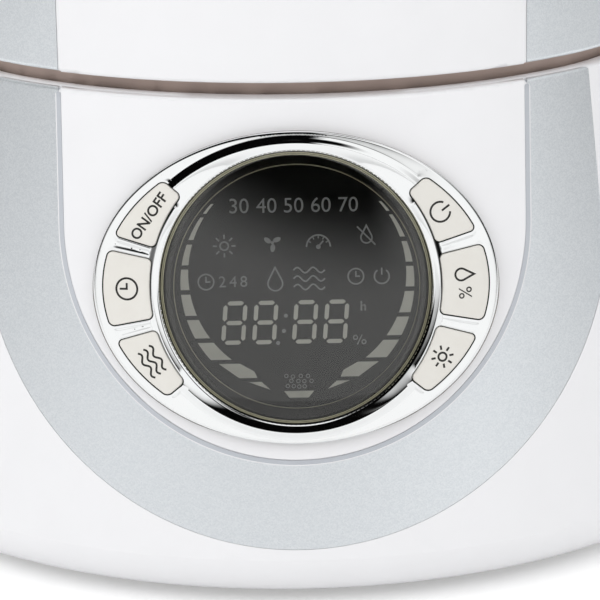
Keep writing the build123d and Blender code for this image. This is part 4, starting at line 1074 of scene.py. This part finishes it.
def makeWorld():
    # White surround; mirrors see it darken to the sides and the back, and to a room in front above the
    # height of the table, with a white card on its right
    world = bpy.data.worlds.new("studioSurround")
    bpy.context.scene.world = world
    world.use_nodes = True
    tree = world.node_tree
    tree.nodes.clear()
    way = addNode(tree, "ShaderNodeTexCoord").outputs["Generated"]
    axes = dict(zip("xyz", addNode(tree, "ShaderNodeSeparateXYZ", None, {0: way}).outputs))
    axes["tilted"] = addNode(tree, "ShaderNodeMath", {"operation": "MULTIPLY_ADD", 1: stage["roomTilt"]},
                             {0: axes["x"], 2: axes["z"]}).outputs[0]
    path = addNode(tree, "ShaderNodeLightPath").outputs
    share = {"camera": path["Is Camera Ray"], "glossy": path["Is Glossy Ray"],
             "glass": path["Is Transmission Ray"]}
    for name, (axis, start, end, most) in zones.items():
        share[name] = addNode(tree, "ShaderNodeMapRange", {
            "interpolation_type": "SMOOTHSTEP", "From Min": start, "From Max": end, "To Max": most},
            {"Value": axes[axis]}).outputs["Result"]
    for name, operation, first, second in zoneSums:
        share[name] = addNode(tree, "ShaderNodeMath", {"operation": operation},
                              {0: share[first], 1: share[second]}).outputs[0]
    walls = addNode(tree, "ShaderNodeMix", {
        "data_type": "RGBA", 6: linear("#FFFFFF"), 7: linear(stage["sideShade"])}, {0: share["sides"]})
    seen = addNode(tree, "ShaderNodeMix", {"data_type": "RGBA", 7: linear(stage["roomShade"])},
                   {0: share["room"], 6: walls.outputs[2]})
    dim = addNode(tree, "ShaderNodeBackground", {"Color": linear("#FFFFFF"), "Strength": stage["fill"]})
    white = addNode(tree, "ShaderNodeBackground", {"Strength": 1.0}, {"Color": seen.outputs[2]})
    both = addNode(tree, "ShaderNodeMixShader", None,
                   {0: share["looks"], 1: dim.outputs[0], 2: white.outputs[0]})
    addNode(tree, "ShaderNodeOutputWorld", None, {"Surface": both.outputs[0]})


def makeFloor():
    h = stage["floorHalf"]
    mesh = bpy.data.meshes.new("studioFloor")
    mesh.from_pydata([(-h, -h, 0), (h, -h, 0), (h, h, 0), (-h, h, 0)], [], [(0, 1, 2, 3)])
    material, tree, shader, _ = startMaterial("palePaperSweep", {
        "Base Color": linear("#FAFAFA"), "Roughness": 0.9, "Emission Color": linear("#FFFFFF")})
    path = addNode(tree, "ShaderNodeLightPath")
    lift = addNode(tree, "ShaderNodeMath", {"operation": "MULTIPLY", 1: stage["floorLift"]},
                   {0: path.outputs["Is Camera Ray"]})
    tree.links.new(lift.outputs[0], shader.inputs["Emission Strength"])
    mesh.materials.append(material)
    floor = addObject("studioFloor", mesh)


softboxes = {
    "keyLeft": {"place": (-0.9, -0.8, 0.9), "size": 0.9, "power": 4.2},
    "fillRight": {"place": (0.9, -0.8, 0.8), "size": 0.9, "power": 1.9},
    "topBack": {"place": (0.0, 0.3, 1.4), "size": 1.2, "power": 2.0},
}


def makeLights():
    # Mirrors and the window show the surround and not the lamps
    for name, box in softboxes.items():
        lamp = bpy.data.lights.new(name, "AREA")
        lamp.size = box["size"]
        lamp.energy = box["power"]
        light = addObject(name, lamp)
        light.visible_glossy = False
        light.visible_transmission = False
        turn = (Vector(stage["aim"]) - Vector(box["place"])).to_track_quat("-Z", "Y")
        light.matrix_world = Matrix.Translation(box["place"]) @ turn.to_matrix().to_4x4()


camera = {"place": (0.0, -0.753, 0.3087), "pixels": 600, "focalPixels": 2552.0, "panelPixel": (296.1, 287.0),
          "roll": -0.95, "sensor": 36.0, "clipEnd": 50.0}


def makeCamera():
    # Long lens, a little above the panel and rolled slightly; the panel's middle falls on its pixel
    lens = bpy.data.cameras.new("panelCamera")
    lens.sensor_width = camera["sensor"]
    lens.lens = lens.sensor_width * camera["focalPixels"] / camera["pixels"]
    lens.clip_end = camera["clipEnd"]
    eye = Vector(camera["place"])
    panel = Vector(planePoints([(0, 0)], np.zeros(1))[0]) - eye
    middle = camera["pixels"] / 2
    across = atan((middle - camera["panelPixel"][0]) / camera["focalPixels"])
    down = atan((middle - camera["panelPixel"][1]) / camera["focalPixels"])
    pitch = atan2(panel.z, panel.y) - down
    view = addObject("panelCamera", lens)
    view.matrix_world = (Matrix.Translation(eye) @ Matrix.Rotation(-across, 4, "Z")
                         @ Matrix.Rotation(pi / 2 + pitch, 4, "X")
                         @ Matrix.Rotation(radians(camera["roll"]), 4, "Z"))
    bpy.context.scene.camera = view


makeWorld()
makeFloor()
makeLights()
makeCamera()
bpy.context.scene.view_settings.view_transform = "Standard"
print("stage, lights and camera set")
